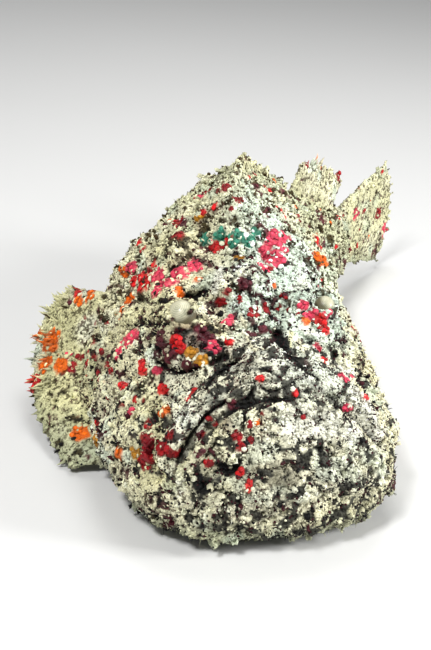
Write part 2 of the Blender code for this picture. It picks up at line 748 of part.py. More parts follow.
class Fan:
    """A fin of rays and webs between a root line and a tip line."""

    def __init__(self, name, rays, rows, root, bend, tip, ray_size, webs=1, notch=0.16):
        self.name, self.rays, self.rows = name, rays, rows
        self.root, self.bend, self.tip = root, bend, tip
        self.ray_root, self.ray_tip = ray_size
        self.webs, self.notch = webs, notch

    def centre_grid(self):
        """Points of the fin's middle surface, one row of points for each column."""
        columns = (self.rays - 1) * (self.webs + 1) + 1
        along = np.linspace(0.0, 1.0, self.rows + 1)[:, None]
        grid, on_ray = [], []
        for column in range(columns):
            step = column % (self.webs + 1)
            between = step / (self.webs + 1)
            share = column / (columns - 1)
            start, middle, end = self.root(share), self.bend(share), self.tip(share)
            short = 1.0 - self.notch * math.sin(math.pi * between) if step else 1.0
            t = along * short
            line = (1 - t) ** 2 * start + 2 * t * (1 - t) * middle + t * t * end
            grid.append(line)
            on_ray.append(step == 0)
        return np.array(grid), on_ray

    def build(self, collection, material):
        """The fin as one closed mesh, split into triangles alike on both faces."""
        grid, on_ray = self.centre_grid()
        columns, rows = grid.shape[0], grid.shape[1]
        normals = np.cross(np.gradient(grid, axis=0), np.gradient(grid, axis=1))
        normals /= np.maximum(np.linalg.norm(normals, axis=-1, keepdims=True), 1e-12)
        along = np.linspace(0.0, 1.0, rows)
        half = np.empty((columns, rows))
        for column, ray in enumerate(on_ray):
            if ray:
                half[column] = self.ray_root + (self.ray_tip - self.ray_root) * along
            else:
                fall = WEB_EDGE_HALF_THICKNESS - WEB_HALF_THICKNESS
                web = WEB_HALF_THICKNESS + fall * along
                half[column] = np.maximum(web, RAY_FLESH_SHARE * self.ray_root * (1 - along))
        upper = grid + normals * half[..., None]
        lower = grid - normals * half[..., None]
        for face in (upper, lower):
            face[..., 2] = np.maximum(face[..., 2], 0.0)
        thin = (upper[..., 2] < FIN_ON_FLOOR) & (lower[..., 2] < FIN_ON_FLOOR)
        lift = np.where(thin, FIN_ON_FLOOR, 0.0)
        side = np.where(normals[..., 2] >= 0, 1.0, 0.0)
        upper[..., 2] += lift * side
        lower[..., 2] += lift * (1.0 - side)
        points = np.concatenate([upper.reshape(-1, 3), lower.reshape(-1, 3)])
        count = columns * rows
        faces = []
        for c in range(columns - 1):
            for r in range(rows - 1):
                a, b = c * rows + r, (c + 1) * rows + r
                halves = [(a, b, b + 1), (a, b + 1, a + 1)]
                if not on_ray[c]:
                    halves = [(a, b, a + 1), (b, b + 1, a + 1)]
                for one, two, three in halves:
                    faces.append((one, two, three))
                    faces.append((one + count, three + count, two + count))
        rim = [c * rows for c in range(columns)]
        rim += [(columns - 1) * rows + r for r in range(1, rows)]
        rim += [c * rows + rows - 1 for c in range(columns - 2, -1, -1)]
        rim += [r for r in range(rows - 2, 0, -1)]
        for n, here in enumerate(rim):
            after = rim[(n + 1) % len(rim)]
            faces.append((after, here, here + count))
            faces.append((after, here + count, after + count))
        fin = mesh_object(self.name, points, faces, collection, material)
        shape = bmesh.new()
        shape.from_mesh(fin.data)
        bmesh.ops.recalc_face_normals(shape, faces=shape.faces)
        if shape.calc_volume(signed=True) < 0:
            bmesh.ops.reverse_faces(shape, faces=shape.faces)
        shape.to_mesh(fin.data)
        shape.free()
        return fin


def between(stops, share):
    """A smooth path through a few points, by the share of the way along it."""
    stops = np.array(stops, float)
    place = np.clip(share, 0.0, 1.0) * (len(stops) - 1)
    n = min(int(place), len(stops) - 2)
    t = place - n
    here, after = stops[n], stops[n + 1]
    before = stops[n - 1] if n else 2 * here - after
    beyond = stops[n + 2] if n + 2 < len(stops) else 2 * after - here
    return 0.5 * (
        2 * here
        + (after - before) * t
        + (2 * before - 5 * here + 4 * after - beyond) * t**2
        + (3 * here - before - 3 * after + beyond) * t**3
    )


# Stops of the spread right fin and of the left one, which lies along the flank: side offset,
# station and height of the tips, and of the bends half way out
FinStops = namedtuple("FinStops", "roots tips bends")
SPREAD_FIN = FinStops(
    roots=((0.094, 0.052), (0.094, 0.038), (0.088, 0.026), (0.075, 0.013), (0.060, 0.006)),
    tips=(
        (0.0620, 0.122, 0.0385),
        (0.0715, 0.120, 0.0280),
        (0.0745, 0.109, 0.0160),
        (0.0715, 0.088, 0.0060),
        (0.0610, 0.062, 0.0012),
    ),
    bends=(
        (0.0580, 0.106, 0.0485),
        (0.0665, 0.106, 0.0400),
        (0.0690, 0.098, 0.0240),
        (0.0660, 0.080, 0.0130),
        (0.0570, 0.060, 0.0060),
    ),
)
CLOSED_FIN = FinStops(
    roots=((0.094, 0.034), (0.093, 0.027), (0.087, 0.020), (0.075, 0.013), (0.060, 0.006)),
    tips=(
        (0.0450, 0.142, 0.0230),
        (0.0545, 0.134, 0.0130),
        (0.0600, 0.110, 0.0070),
        (0.0620, 0.078, 0.0035),
        (0.0565, 0.047, 0.0012),
    ),
    bends=(
        (0.0520, 0.116, 0.0290),
        (0.0570, 0.113, 0.0210),
        (0.0600, 0.096, 0.0140),
        (0.0600, 0.072, 0.0090),
        (0.0560, 0.050, 0.0060),
    ),
)


def pectoral_fin(side_name, mirror, stops):
    """A broad fan from the shoulder to under the cheek."""
    roots, tips, bends = stops

    def root(share):
        station, height = between(roots, share)
        widest = profile_at(station, "widest")
        reach = profile_at(station, "back") - widest
        depth = widest - profile_at(station, "belly")
        up = (height - widest) / (reach if height > widest else depth)
        power = profile_at(station, "roundness") if height > widest else BELLY_ROUNDNESS
        half_width = profile_at(station, "half_width")
        side = half_width * (1.0 - abs(up) ** power) ** (1.0 / power)
        return to_world(mirror * (side - PECTORAL_ROOT_SUNK), station, height)

    def bend(share):
        side, station, height = between(bends, share)
        return to_world(mirror * side, station, height)

    def tip(share):
        side, station, height = between(tips, share)
        return to_world(mirror * side, station, height)

    name = f"pectoral_fin_{side_name}"
    return Fan(name, PECTORAL_RAYS, 7, root, bend, tip, PECTORAL_RAY, notch=0.13)


def ridge_height(station):
    """Height of the skin along the middle of the back."""
    back = float(profile_at(station, "back"))
    return back + float(skin_relief(np.array([[0.0, station, back]]))[0])


def back_fin(fin, profile):
    """A fin along the back, with its rays leaning towards the tail."""

    def root(share):
        station = fin.start + (fin.end - fin.start) * share
        return to_world(0.0, station, ridge_height(station) - BACK_FIN_SUNK)

    def tip(share):
        rise = fin.height * profile(share)
        station = fin.start + (fin.end - fin.start) * share + fin.lean * rise
        sway = BACK_FIN_SWAY * math.sin(9.0 * share)
        return to_world(sway, station, ridge_height(station) + rise)

    def bend(share):
        middle = (root(share) + tip(share)) / 2
        return middle + np.array([0.0, -BACK_FIN_CURVE, BACK_FIN_CURVE])

    return Fan(fin.name, fin.rays, 5, root, bend, tip, fin.ray, webs=fin.webs, notch=fin.notch)


def caudal_fin():
    """The rounded tail fin."""
    start, mid = FIN_ROOT_STATION - CAUDAL_ROOT_SUNK, profile_at(FIN_ROOT_STATION, "widest")
    low = profile_at(FIN_ROOT_STATION, "belly") + CAUDAL_ROOT_INSET
    high = profile_at(FIN_ROOT_STATION, "back") - CAUDAL_ROOT_INSET

    def root(share):
        return to_world(0.0, start, high + (low - high) * share)

    def tip(share):
        rounding = math.cos(math.pi * (share - 0.5)) ** 0.8
        length = CAUDAL_OUTER_RAYS + (1.0 - CAUDAL_OUTER_RAYS) * rounding
        height = mid + CAUDAL_HALF_HEIGHT * (1.0 - 2.0 * share)
        return to_world(0.0, FIN_ROOT_STATION + CAUDAL_FIN_LENGTH * length, height)

    def bend(share):
        height = mid + CAUDAL_BEND_SPREAD * CAUDAL_HALF_HEIGHT * (1.0 - 2.0 * share)
        return to_world(0.0, FIN_ROOT_STATION + CAUDAL_BEND_OUT * CAUDAL_FIN_LENGTH, height)

    return Fan("caudal_fin", CAUDAL_RAYS, 7, root, bend, tip, CAUDAL_RAY, notch=0.10)


def anal_fin():
    """The fin under the tail, folded over to one side so that it lies on the floor."""

    def root(share):
        station = ANAL_START + (ANAL_END - ANAL_START) * share
        height = profile_at(station, "belly") + ANAL_ROOT_SUNK
        return to_world(ANAL_ROOT_SIDE, station, height)

    def bend(share):
        station = ANAL_START + (ANAL_END - ANAL_START) * share
        low = max(float(profile_at(station, "belly")) - ANAL_BEND_DROP, ANAL_BEND_LOWEST)
        return to_world(ANAL_BEND_SIDE, station + ANAL_BEND_BACK, low)

    def tip(share):
        station = ANAL_START + (ANAL_END - ANAL_START) * share
        shortest, longest = ANAL_REACH
        reach = shortest + (longest - shortest) * math.sin(math.pi * min(share + 0.1, 1.0))
        return to_world(ANAL_TIP_SIDE * reach, station + ANAL_TIP_BACK * reach, ANAL_TIP_HEIGHT)

    return Fan("anal_fin", ANAL_RAYS, 5, root, bend, tip, ANAL_RAY, notch=0.14)


def pelvic_fin(side_name, mirror):
    """A short fan laid on the floor under the flank."""

    def place(ends, share, reach=1.0):
        first, last = np.array(ends)
        side, station, height = first + (last - first) * share
        return to_world(mirror * side * reach, station, height)

    def root(share):
        return place(PELVIC_ROOT, share)

    def bend(share):
        return place(PELVIC_BEND, share)

    def tip(share):
        rounding = math.sin(math.pi * share)
        reach = PELVIC_OUTER_RAYS + (1.0 - PELVIC_OUTER_RAYS) * rounding
        return place(PELVIC_TIP, share, reach)

    name = f"pelvic_fin_{side_name}"
    return Fan(name, PELVIC_RAYS, 5, root, bend, tip, PELVIC_RAY, notch=0.10)


def spine_profile(share):
    """Height of the spiny fin along the back, highest over the fourth spine."""
    return 0.62 + 0.50 * float(smooth_step(share / 0.3)) - 0.24 * share


def soft_profile(share):
    """Height of the soft fin along the back."""
    return 0.55 + 0.55 * math.sin(math.pi * (0.25 + 0.65 * share))


def build_fins(collection, helpers, head, torso, tail, materials):
    """Every fin, cut back to what it grows from."""
    fin, spine = materials["fin"], materials["spine"]
    spiny = back_fin(SPINY_FIN, spine_profile).build(collection, spine)
    cut_clear(spiny, (head, torso), helpers)
    soft = back_fin(SOFT_FIN, soft_profile).build(collection, fin)
    cut_clear(soft, (torso, tail, spiny), helpers)
    caudal = caudal_fin().build(collection, fin)
    cut_clear(caudal, (tail,), helpers)
    anal = anal_fin().build(collection, fin)
    cut_clear(anal, (torso, tail), helpers)
    for side_name, mirror, stops in (("right", -1.0, SPREAD_FIN), ("left", 1.0, CLOSED_FIN)):
        pectoral = pectoral_fin(side_name, mirror, stops).build(collection, fin)
        cut_clear(pectoral, (head, torso), helpers)
        pelvic = pelvic_fin(side_name, mirror).build(collection, fin)
        cut_clear(pelvic, (head, torso, pectoral), helpers)


def stand_at_origin(collection):
    """Moves the fish so that the middle of its box is over the origin."""
    bpy.context.view_layer.update()
    corners = np.array([v.co for obj in collection.objects for v in obj.data.vertices])
    middle = (corners.min(axis=0) + corners.max(axis=0)) / 2
    fish = bpy.data.objects.new("stonefish", None)
    fish.location = (-middle[0], -middle[1], 0.0)
    collection.objects.link(fish)
    for obj in list(collection.objects):
        if obj is not fish:
            obj.parent = fish


def main():
    """Builds the stonefish."""
    clear_scene()
    fish = new_collection("stonefish")
    helpers = new_collection("cutters")
    materials = {
        "skin": make_material("skin", SKIN_COLOUR, 0.8),
        "lip": make_material("lip", LIP_COLOUR, 0.7),
        "fin": make_material("fin", FIN_COLOUR, 0.75),
        "spine": make_material("spine", SPINE_COLOUR, 0.8),
        "eye": make_material("eye", EYE_COLOUR, 0.25),
    }
    head = build_head(fish, materials["skin"])
    torso, tail = build_trunk(fish, materials["skin"])
    build_fins(fish, helpers, head, torso, tail, materials)
    fit_eyes_and_nostrils(head, fish, helpers, materials["eye"])
    part_jaw(head, fish, helpers, materials["lip"])
    stand_at_origin(fish)


main()
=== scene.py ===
"""The visual model of a reef stonefish at life size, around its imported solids.

One skin stands for the fish's flesh and fins. A coat of fine skin growths covers it: chips, warts,
filaments, flaps, crusts and the pointed tips of the fin rays, each a small closed mesh rooted in
the skin. Skin and coat take their colours from the same painter. Metres, +Z up; the fish faces -Y
and its right side is at -X.
"""

import itertools
import json
import logging
import math
from collections.abc import Callable, Iterator, Sequence
from contextlib import contextmanager
from dataclasses import dataclass, field
from enum import Enum
from typing import ClassVar, NamedTuple

import bmesh
import bpy
import numpy as np
from mathutils import Matrix, Quaternion, Vector
from mathutils.bvhtree import BVHTree

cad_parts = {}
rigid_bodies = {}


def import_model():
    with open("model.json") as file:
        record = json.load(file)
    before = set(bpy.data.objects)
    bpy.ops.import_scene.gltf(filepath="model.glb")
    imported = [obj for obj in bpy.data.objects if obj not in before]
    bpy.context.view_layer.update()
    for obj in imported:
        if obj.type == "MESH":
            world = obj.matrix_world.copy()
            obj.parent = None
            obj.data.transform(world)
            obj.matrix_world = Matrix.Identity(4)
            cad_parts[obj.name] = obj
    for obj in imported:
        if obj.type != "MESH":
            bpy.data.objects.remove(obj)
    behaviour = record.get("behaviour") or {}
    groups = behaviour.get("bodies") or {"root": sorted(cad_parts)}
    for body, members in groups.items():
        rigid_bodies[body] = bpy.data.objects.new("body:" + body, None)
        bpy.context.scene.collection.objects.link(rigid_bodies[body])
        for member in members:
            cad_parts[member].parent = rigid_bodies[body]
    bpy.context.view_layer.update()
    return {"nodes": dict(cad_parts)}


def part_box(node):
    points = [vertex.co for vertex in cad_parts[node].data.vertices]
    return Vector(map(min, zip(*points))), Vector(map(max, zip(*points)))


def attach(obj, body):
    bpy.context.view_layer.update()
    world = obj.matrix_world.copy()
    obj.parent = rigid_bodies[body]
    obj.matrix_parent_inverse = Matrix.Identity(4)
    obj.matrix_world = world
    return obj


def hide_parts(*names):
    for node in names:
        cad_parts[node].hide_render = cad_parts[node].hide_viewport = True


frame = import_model()
LOG = logging.getLogger("stonefish")

FLESH = ("head", "lower_jaw", "torso", "tail")
SPINES = "dorsal_fin_spiny"
FINS = (
    "pectoral_fin_left",
    "pectoral_fin_right",
    "pelvic_fin_left",
    "pelvic_fin_right",
    SPINES,
    "dorsal_fin_soft",
    "anal_fin",
    "caudal_fin",
)

# The mouth's arch, the depth of the jaw, face and upper lip, and the length, as in the solids
MOUTH_HALF_WIDTH = 0.0350
MOUTH_TOP = 0.0550
MOUTH_CORNER = 0.0330
MOUTH_ARCH = 2.4
JAW_DEPTH = 0.040
FACE_DEPTH = 0.044
UPPER_LIP_DEPTH = 0.0180
UPPER_LIP_AT_CORNER = 0.0040
TOTAL_LENGTH = 0.300

# The middle of what the photo shows: side offset, station and height
FACE_MIDDLE = (0.0, 0.030, 0.045)

# The least height of the skin and its growths over the floor
FLOOR_ROOM = 0.0006

# Stations between which the head passes into the back, for stains, growths and far colours
NAPE = (0.070, 0.100)
BACK = (0.080, 0.100)
REAR = (0.078, 0.135)

# The mouth's slit. On the fish's right, past these offsets, a fold of the photo draws it instead
MOUTH_OPENS = (-0.026, -0.014)
SLIT_REACH = 0.0007

# Hollows and lumps of the head's hidden left side: side offset, station, height, reach and rise
POCKETS = (
    (0.0385, 0.0355, 0.045, 0.0040, -0.0034),
    (0.0300, 0.0480, 0.056, 0.0045, -0.0030),
    (0.0340, 0.0560, 0.050, 0.0045, 0.0022),
    (0.0420, 0.0480, 0.038, 0.0050, 0.0020),
)

# Lumps and pores all over: cell width, rise, seed, and where each starts and ends in its cell
LUMPS = (
    (0.0110, 0.0026, 11, 0.10, 0.75),
    (0.0050, 0.0017, 12, 0.12, 0.72),
    (0.0023, 0.0006, 15, 0.10, 0.70),
    (0.0062, -0.0020, 13, 0.08, 0.32),
)

class Tint(Enum):
    """The fish's colours, in sRGB; ink also serves as painted shade and white as painted light."""

    WHITE = (0.97, 0.97, 0.90)
    CREAM = (0.95, 0.93, 0.79)
    MINT = (0.89, 0.96, 0.89)
    STRAW = (0.89, 0.87, 0.66)
    SAGE = (0.66, 0.72, 0.60)
    GREY = (0.66, 0.67, 0.62)
    OLIVE = (0.27, 0.23, 0.11)
    INK = (0.045, 0.040, 0.045)
    MAROON = (0.36, 0.12, 0.16)
    DARK_RED = (0.62, 0.06, 0.09)
    RED = (0.88, 0.12, 0.13)
    PINK = (0.92, 0.27, 0.38)
    ORANGE = (0.97, 0.43, 0.04)
    OCHRE = (0.76, 0.52, 0.12)
    TEAL = (0.22, 0.52, 0.42)

    @property
    def linear(self) -> np.ndarray:
        """The tint as linear light."""
        value = np.array(self.value)
        return np.where(value <= 0.04045, value / 12.92, ((value + 0.055) / 1.055) ** 2.4)

    def at(self, brightness: float) -> tuple[float, ...]:
        """The tint for a socket, at a share of its own brightness."""
        return (*(self.linear * brightness), 1.0)


# Places of the coloured spots in the photo: x, y and radius, in pixels of its 431 x 650 frame
SPOTS: dict[Tint, tuple[tuple[float, float, float], ...]] = {
    Tint.ORANGE: (
        (50, 341, 12), (45, 364, 9), (61, 364, 10), (40, 334, 6), (79, 300, 6), (164, 410, 7),
        (119, 454, 6), (272, 285, 4), (179, 293, 6), (198, 279, 5), (258, 422, 4), (123, 272, 6),
        (306, 322, 5),
    ),
    Tint.OCHRE: (
        (97, 436, 9), (191, 353, 7), (201, 361, 7), (240, 259, 6), (136, 452, 7), (200, 218, 5),
    ),
    Tint.RED: (
        (78, 293, 6), (143, 372, 5), (142, 364, 4), (122, 387, 6), (163, 392, 6), (135, 399, 4),
        (194, 392, 5), (189, 398, 4), (175, 341, 6), (181, 348, 5), (146, 283, 11), (135, 281, 7),
        (217, 247, 7), (139, 243, 6), (229, 243, 6), (203, 213, 6), (326, 331, 5), (324, 362, 6),
        (260, 379, 4), (295, 392, 4), (241, 473, 5), (248, 486, 6), (366, 397, 4), (229, 342, 5),
        (140, 278, 6), (320, 320, 7),
    ),
    Tint.PINK: (
        (124, 347, 9), (135, 338, 8), (120, 356, 6), (158, 371, 5), (131, 412, 4), (213, 346, 8),
        (227, 321, 7), (161, 288, 10), (171, 283, 7), (178, 274, 11), (68, 356, 4), (195, 267, 8),
        (159, 276, 8), (276, 239, 9), (262, 267, 8), (274, 259, 10), (266, 250, 9), (312, 315, 8),
        (304, 306, 7), (317, 347, 5), (352, 379, 5), (347, 408, 4), (200, 198, 5), (343, 377, 6),
        (132, 268, 6), (285, 237, 5), (284, 251, 5), (263, 257, 6), (322, 308, 5), (326, 316, 5),
    ),
    Tint.DARK_RED: (
        (149, 424, 7), (170, 436, 6), (148, 441, 8), (162, 449, 9), (172, 452, 7), (145, 462, 10),
        (227, 292, 4), (221, 302, 5), (240, 300, 4), (254, 313, 5), (266, 308, 5), (278, 305, 4),
        (289, 312, 4), (299, 315, 4), (236, 436, 6), (241, 447, 5), (209, 463, 5), (225, 187, 6),
        (210, 191, 5), (238, 200, 5), (72, 366, 6), (87, 366, 6), (180, 222, 8), (80, 357, 4),
        (94, 358, 4), (101, 352, 3), (111, 373, 3), (150, 272, 6), (107, 364, 3), (99, 372, 3),
        (210, 419, 3), (216, 425, 3), (250, 425, 3), (303, 417, 2.5), (250, 442, 3), (204, 434, 3),
        (284, 296, 2.5), (303, 306, 3), (272, 268, 3), (100, 380, 3), (93, 379, 2.5), (138, 384, 3),
        (109, 399, 2.5), (123, 406, 3), (143, 401, 3), (96, 323, 2.5), (108, 323, 2.5),
        (89, 337, 2.5), (95, 344, 3), (86, 318, 2.5), (262, 413, 3),
    ),
    Tint.MAROON: (
        (197, 329, 6), (264, 330, 5), (252, 336, 5), (231, 404, 6), (170, 352, 10), (205, 340, 10),
        (184, 224, 6), (243, 282, 7), (160, 340, 8), (199, 452, 5), (201, 436, 5), (186, 366, 7),
    ),
    Tint.TEAL: ((205, 240, 7), (220, 236, 8), (234, 239, 9), (246, 240, 8), (255, 232, 6)),
}

# Soft tones of the skin, with painted light and shade: x, y, radius in pixels, and strength
TONES_AND_PAINTED_LIGHT: dict[Tint, tuple[tuple[float, float, float, float], ...]] = {
    # Ink: painted shade in the hollows and painted shadow under the jaw
    Tint.INK: (
        (279, 343, 9, 1.0), (283, 350, 7, 1.0), (160, 345, 7, 0.6), (245, 284, 6, 0.5),
        (235, 254, 5, 0.7), (330, 347, 5, 0.6), (226, 469, 10, 0.7), (322, 452, 9, 0.35),
        (205, 485, 14, 0.6), (300, 467, 9, 0.3),
        (197, 328, 4, 0.95), (211, 328, 4, 0.8), (203, 345, 5, 0.7), (228, 357, 5, 0.6),
        (242, 348, 4, 0.5), (184, 345, 12, 0.40), (204, 330, 8, 0.35), (160, 346, 7, 0.8),
        (300, 357, 6, 0.5), (215, 372, 9, 0.4),
    ),
    # Maroon: the skin's own dark red, deepened in the hollow under the eye as painted shade
    Tint.MAROON: (
        (186, 334, 17, 0.60), (168, 345, 14, 0.55), (205, 345, 15, 0.60), (222, 352, 11, 0.5),
        (254, 337, 5, 0.8), (263, 329, 6, 0.8), (235, 384, 9, 0.3), (300, 360, 10, 0.55),
        (203, 222, 12, 0.4), (225, 424, 11, 0.45), (100, 362, 15, 0.35), (212, 325, 10, 0.4),
        (150, 262, 14, 0.2), (188, 262, 16, 0.30), (110, 285, 12, 0.4),
    ),
    Tint.GREY: (
        (230, 372, 17, 0.6), (252, 388, 14, 0.5), (250, 366, 12, 0.5), (203, 408, 12, 0.5),
        (320, 352, 12, 0.35), (275, 372, 14, 0.4), (215, 395, 14, 0.6),
    ),
    # Olive: a darker tone along the bottom of the jaw, painted shade under the body
    Tint.OLIVE: (
        (215, 470, 18, 0.45), (255, 475, 18, 0.40), (150, 335, 9, 0.5), (248, 362, 12, 0.5),
        (285, 475, 22, 0.55), (160, 318, 8, 0.3), (112, 400, 8, 0.3),
    ),
    # White: the pale skin, brightened down the lit right side as painted light
    Tint.WHITE: (
        (240, 314, 15, 0.5), (309, 330, 7, 0.9), (371, 420, 13, 0.9), (345, 372, 12, 0.9),
        (300, 425, 22, 0.8), (355, 432, 16, 0.9), (124, 384, 8, 0.8), (186, 455, 7, 0.6),
        (325, 425, 20, 0.9), (300, 285, 14, 0.7), (200, 419, 5, 0.9), (110, 320, 22, 0.4),
        (358, 392, 13, 1.0), (366, 408, 14, 1.0), (374, 434, 12, 1.0), (352, 376, 10, 0.9),
        (90, 330, 20, 0.6),
    ),
    Tint.MINT: (
        (240, 308, 18, 0.9), (285, 275, 16, 0.8), (308, 300, 12, 0.8), (262, 295, 14, 0.6),
        (180, 395, 8, 0.4),
    ),
}


class Fold(NamedTuple):
    """A crease or a ridge of the photo: its line and half width in pixels, its rise in metres, its
    tint, and how strongly it is tinted."""

    line: tuple[tuple[float, float], ...]
    width: float
    rise: float
    tint: Tint
    strength: float = 1.0


# Creases tinted ink are painted shade, black in the depth of the fold
FOLDS = (
    Fold(((187, 296), (197, 297), (206, 292)), 6.0, -0.0034, Tint.INK),
    Fold(((187, 322), (193, 317), (201, 316)), 3.0, -0.0010, Tint.INK, 0.6),
    Fold(((195, 312), (204, 309), (214, 303)), 3.2, 0.0013, Tint.WHITE, 0.8),
    Fold(((220, 270), (217, 281), (213, 291)), 6.5, 0.0024, Tint.WHITE, 0.95),
    Fold(((241, 315), (246, 330), (249, 343), (255, 350), (264, 349), (270, 342), (274, 331)), 3.0,
         0.0018, Tint.CREAM, 0.8),
    Fold(((277, 333), (279, 343), (285, 351), (292, 357)), 6.5, -0.0045, Tint.INK),
    Fold(((265, 346), (274, 341)), 3.5, -0.0015, Tint.INK, 0.9),
    Fold(((292, 357), (301, 366), (309, 372), (317, 379)), 2.4, -0.0016, Tint.INK, 0.6),
    Fold(((262, 352), (270, 351), (280, 357), (290, 365), (300, 374), (312, 384), (324, 392)), 3.4,
         0.0014, Tint.GREY, 0.85),
    Fold(((237, 363), (228, 366), (219, 371), (211, 379), (205, 388)), 3.6, -0.0026, Tint.INK, 0.8),
    Fold(((212, 363), (218, 361), (225, 357)), 4.0, -0.0015, Tint.INK, 0.6),
    Fold(((158, 362), (167, 369), (177, 373), (188, 372), (198, 368)), 3.4, -0.0034, Tint.INK),
    Fold(((156, 334), (157, 344), (163, 353)), 4.5, -0.0018, Tint.INK, 0.7),
    Fold(((141, 346), (141, 355)), 4.0, -0.0020, Tint.INK, 0.95),
    Fold(((178, 458), (184, 447), (191, 434), (199, 424), (207, 414), (215, 408), (226, 402)),
         2.2, -0.0018, Tint.INK, 0.95),
    Fold(((243, 401), (248, 396), (252, 391)), 2.6, -0.0011, Tint.INK, 0.8),
    Fold(((261, 387), (268, 391), (276, 390)), 2.6, -0.0011, Tint.INK, 0.8),
    Fold(((228, 404), (234, 403), (239, 407)), 2.6, -0.0010, Tint.INK, 0.6),
    Fold(((197, 433), (206, 421)), 1.8, 0.0009, Tint.WHITE, 0.9),
    Fold(((203, 462), (208, 453), (214, 445)), 2.6, -0.0012, Tint.OLIVE, 0.8),
    Fold(((187, 470), (190, 458), (197, 445)), 4.0, 0.0014, Tint.CREAM, 0.7),
    Fold(((222, 466), (231, 471), (239, 462)), 5.0, -0.0016, Tint.INK, 0.9),
    Fold(((88, 291), (104, 289), (118, 286), (131, 291)), 3.0, -0.0016, Tint.MAROON, 0.8),
    Fold(((125, 276), (133, 275), (140, 275)), 2.8, -0.0014, Tint.INK, 0.8),
    Fold(((148, 303), (157, 303), (166, 301)), 2.6, -0.0018, Tint.INK, 0.7),
    Fold(((194, 313), (199, 310), (204, 306), (209, 302)), 2.8, 0.0012, Tint.CREAM, 0.6),
    Fold(((120, 326), (134, 326), (148, 323), (158, 326), (168, 324)), 3.0, -0.0018, Tint.INK, 0.6),
    Fold(((154, 414), (157, 420)), 3.8, -0.0014, Tint.INK, 0.85),
    Fold(((298, 327), (308, 331), (318, 335)), 3.0, 0.0015, Tint.WHITE, 0.9),
    Fold(((291, 333), (290, 346)), 3.2, 0.0014, Tint.STRAW, 0.8),
    Fold(((299, 342), (306, 350)), 5.0, 0.0016, Tint.CREAM, 0.8),
    Fold(((295, 356), (303, 361), (310, 367)), 3.4, -0.0014, Tint.MAROON, 0.7),
    Fold(((279, 265), (277, 273)), 3.0, -0.0010, Tint.INK, 0.6),
    Fold(((84, 374), (92, 384), (96, 396)), 3.0, -0.0012, Tint.INK, 0.5),
    Fold(((148, 291), (165, 291), (181, 287), (200, 280)), 7.0, 0.0024, Tint.CREAM, 0.0),
    Fold(((100, 306), (125, 305), (150, 308), (163, 310)), 5.5, 0.0018, Tint.CREAM, 0.3),
    Fold(((105, 298), (126, 298), (146, 300)), 2.6, -0.0014, Tint.INK, 0.4),
    Fold(((222, 381), (235, 372), (250, 368), (266, 370), (281, 377)), 1.9,
         -0.0008, Tint.INK, 0.55),
    Fold(((228, 392), (240, 385), (256, 381), (275, 382)), 1.9, -0.0008, Tint.INK, 0.5),
    Fold(((262, 400), (260, 412), (262, 424)), 2.4, -0.0009, Tint.INK, 0.4),
    Fold(((246, 412), (243, 426), (247, 438)), 2.4, -0.0009, Tint.INK, 0.5),
    Fold(((296, 399), (298, 412)), 2.2, -0.0008, Tint.INK, 0.4),
    Fold(((318, 405), (322, 420)), 2.2, -0.0008, Tint.INK, 0.4),
    Fold(((172, 398), (170, 412), (173, 426)), 2.4, -0.0010, Tint.INK, 0.4),
    Fold(((187, 400), (184, 412), (180, 424)), 2.4, -0.0010, Tint.INK, 0.4),
    Fold(((232, 286), (238, 296), (236, 306)), 2.2, -0.0008, Tint.INK, 0.3),
    Fold(((249, 290), (252, 302)), 2.4, -0.0010, Tint.INK, 0.5),
    Fold(((318, 345), (324, 356)), 2.6, -0.0010, Tint.INK, 0.5),
    Fold(((334, 352), (342, 364), (350, 373)), 2.6, -0.0012, Tint.INK, 0.4),
    Fold(((330, 398), (340, 408), (346, 418)), 1.9, -0.0008, Tint.INK, 0.5),
    Fold(((222, 312), (236, 318), (243, 327)), 3.4, 0.0014, Tint.CREAM, 0.3),
    Fold(((206, 318), (220, 325), (232, 334)), 2.6, -0.0012, Tint.MAROON, 0.5),
)

# Where the large dark red leaves of skin grow beside the chin, and how far round each, in pixels
LEAF_PIXELS = ((144, 450), (153, 446), (163, 450), (150, 460))
LEAF_REACH = 5.0

# Repeatable draws over space


def hashed(cells: np.ndarray, seed: int) -> np.ndarray:
    """A repeatable draw from 0 to 1 for each whole-number cell.

    Args:
        cells: Whole numbers, three to a cell.
        seed: Which set of draws.

    Returns:
        One draw for each cell.
    """
    x, y, z = (cells[..., axis].astype(np.int64) for axis in range(3))
    mixed = (x * 374761393 + y * 668265263 + z * 1103515245 + seed * 1274126177) & 0xFFFFFFFF
    mixed = ((mixed ^ (mixed >> 13)) * 1274126177) & 0xFFFFFFFF
    return ((mixed ^ (mixed >> 16)) & 0xFFFFFF) / float(0x1000000)


def smooth_noise(points: np.ndarray, size: float, seed: int) -> np.ndarray:
    """Smooth noise from 0 to 1.

    Args:
        points: Places in metres.
        size: Width of a swell in metres.
        seed: Which noise.

    Returns:
        One value for each point.
    """
    place = points / size
    base = np.floor(place).astype(np.int64)
    share = place - base
    share = share * share * (3.0 - 2.0 * share)
    total = np.zeros(len(points))
    for corner in itertools.product((0, 1), repeat=3):
        weight = np.prod(np.where(corner, share, 1.0 - share), axis=-1)
        total += weight * hashed(base + np.array(corner), seed)
    return total


class Swell(Enum):
    """Smooth noises over the fish: width of a swell in metres, and which noise."""

    CLOUD = (0.016, 3)
    DRIFT = (0.0042, 4)
    TINGE = (0.0065, 5)
    REDNESS = (0.007, 8)
    CREASES = (0.0060, 14)
    RAGGED = (0.0018, 21)
    GAPS = (0.0021, 31)
    WIDE_GAPS = (0.0058, 32)

    def over(self, points: np.ndarray) -> np.ndarray:
        """This noise at some places."""
        return smooth_noise(points, *self.value)


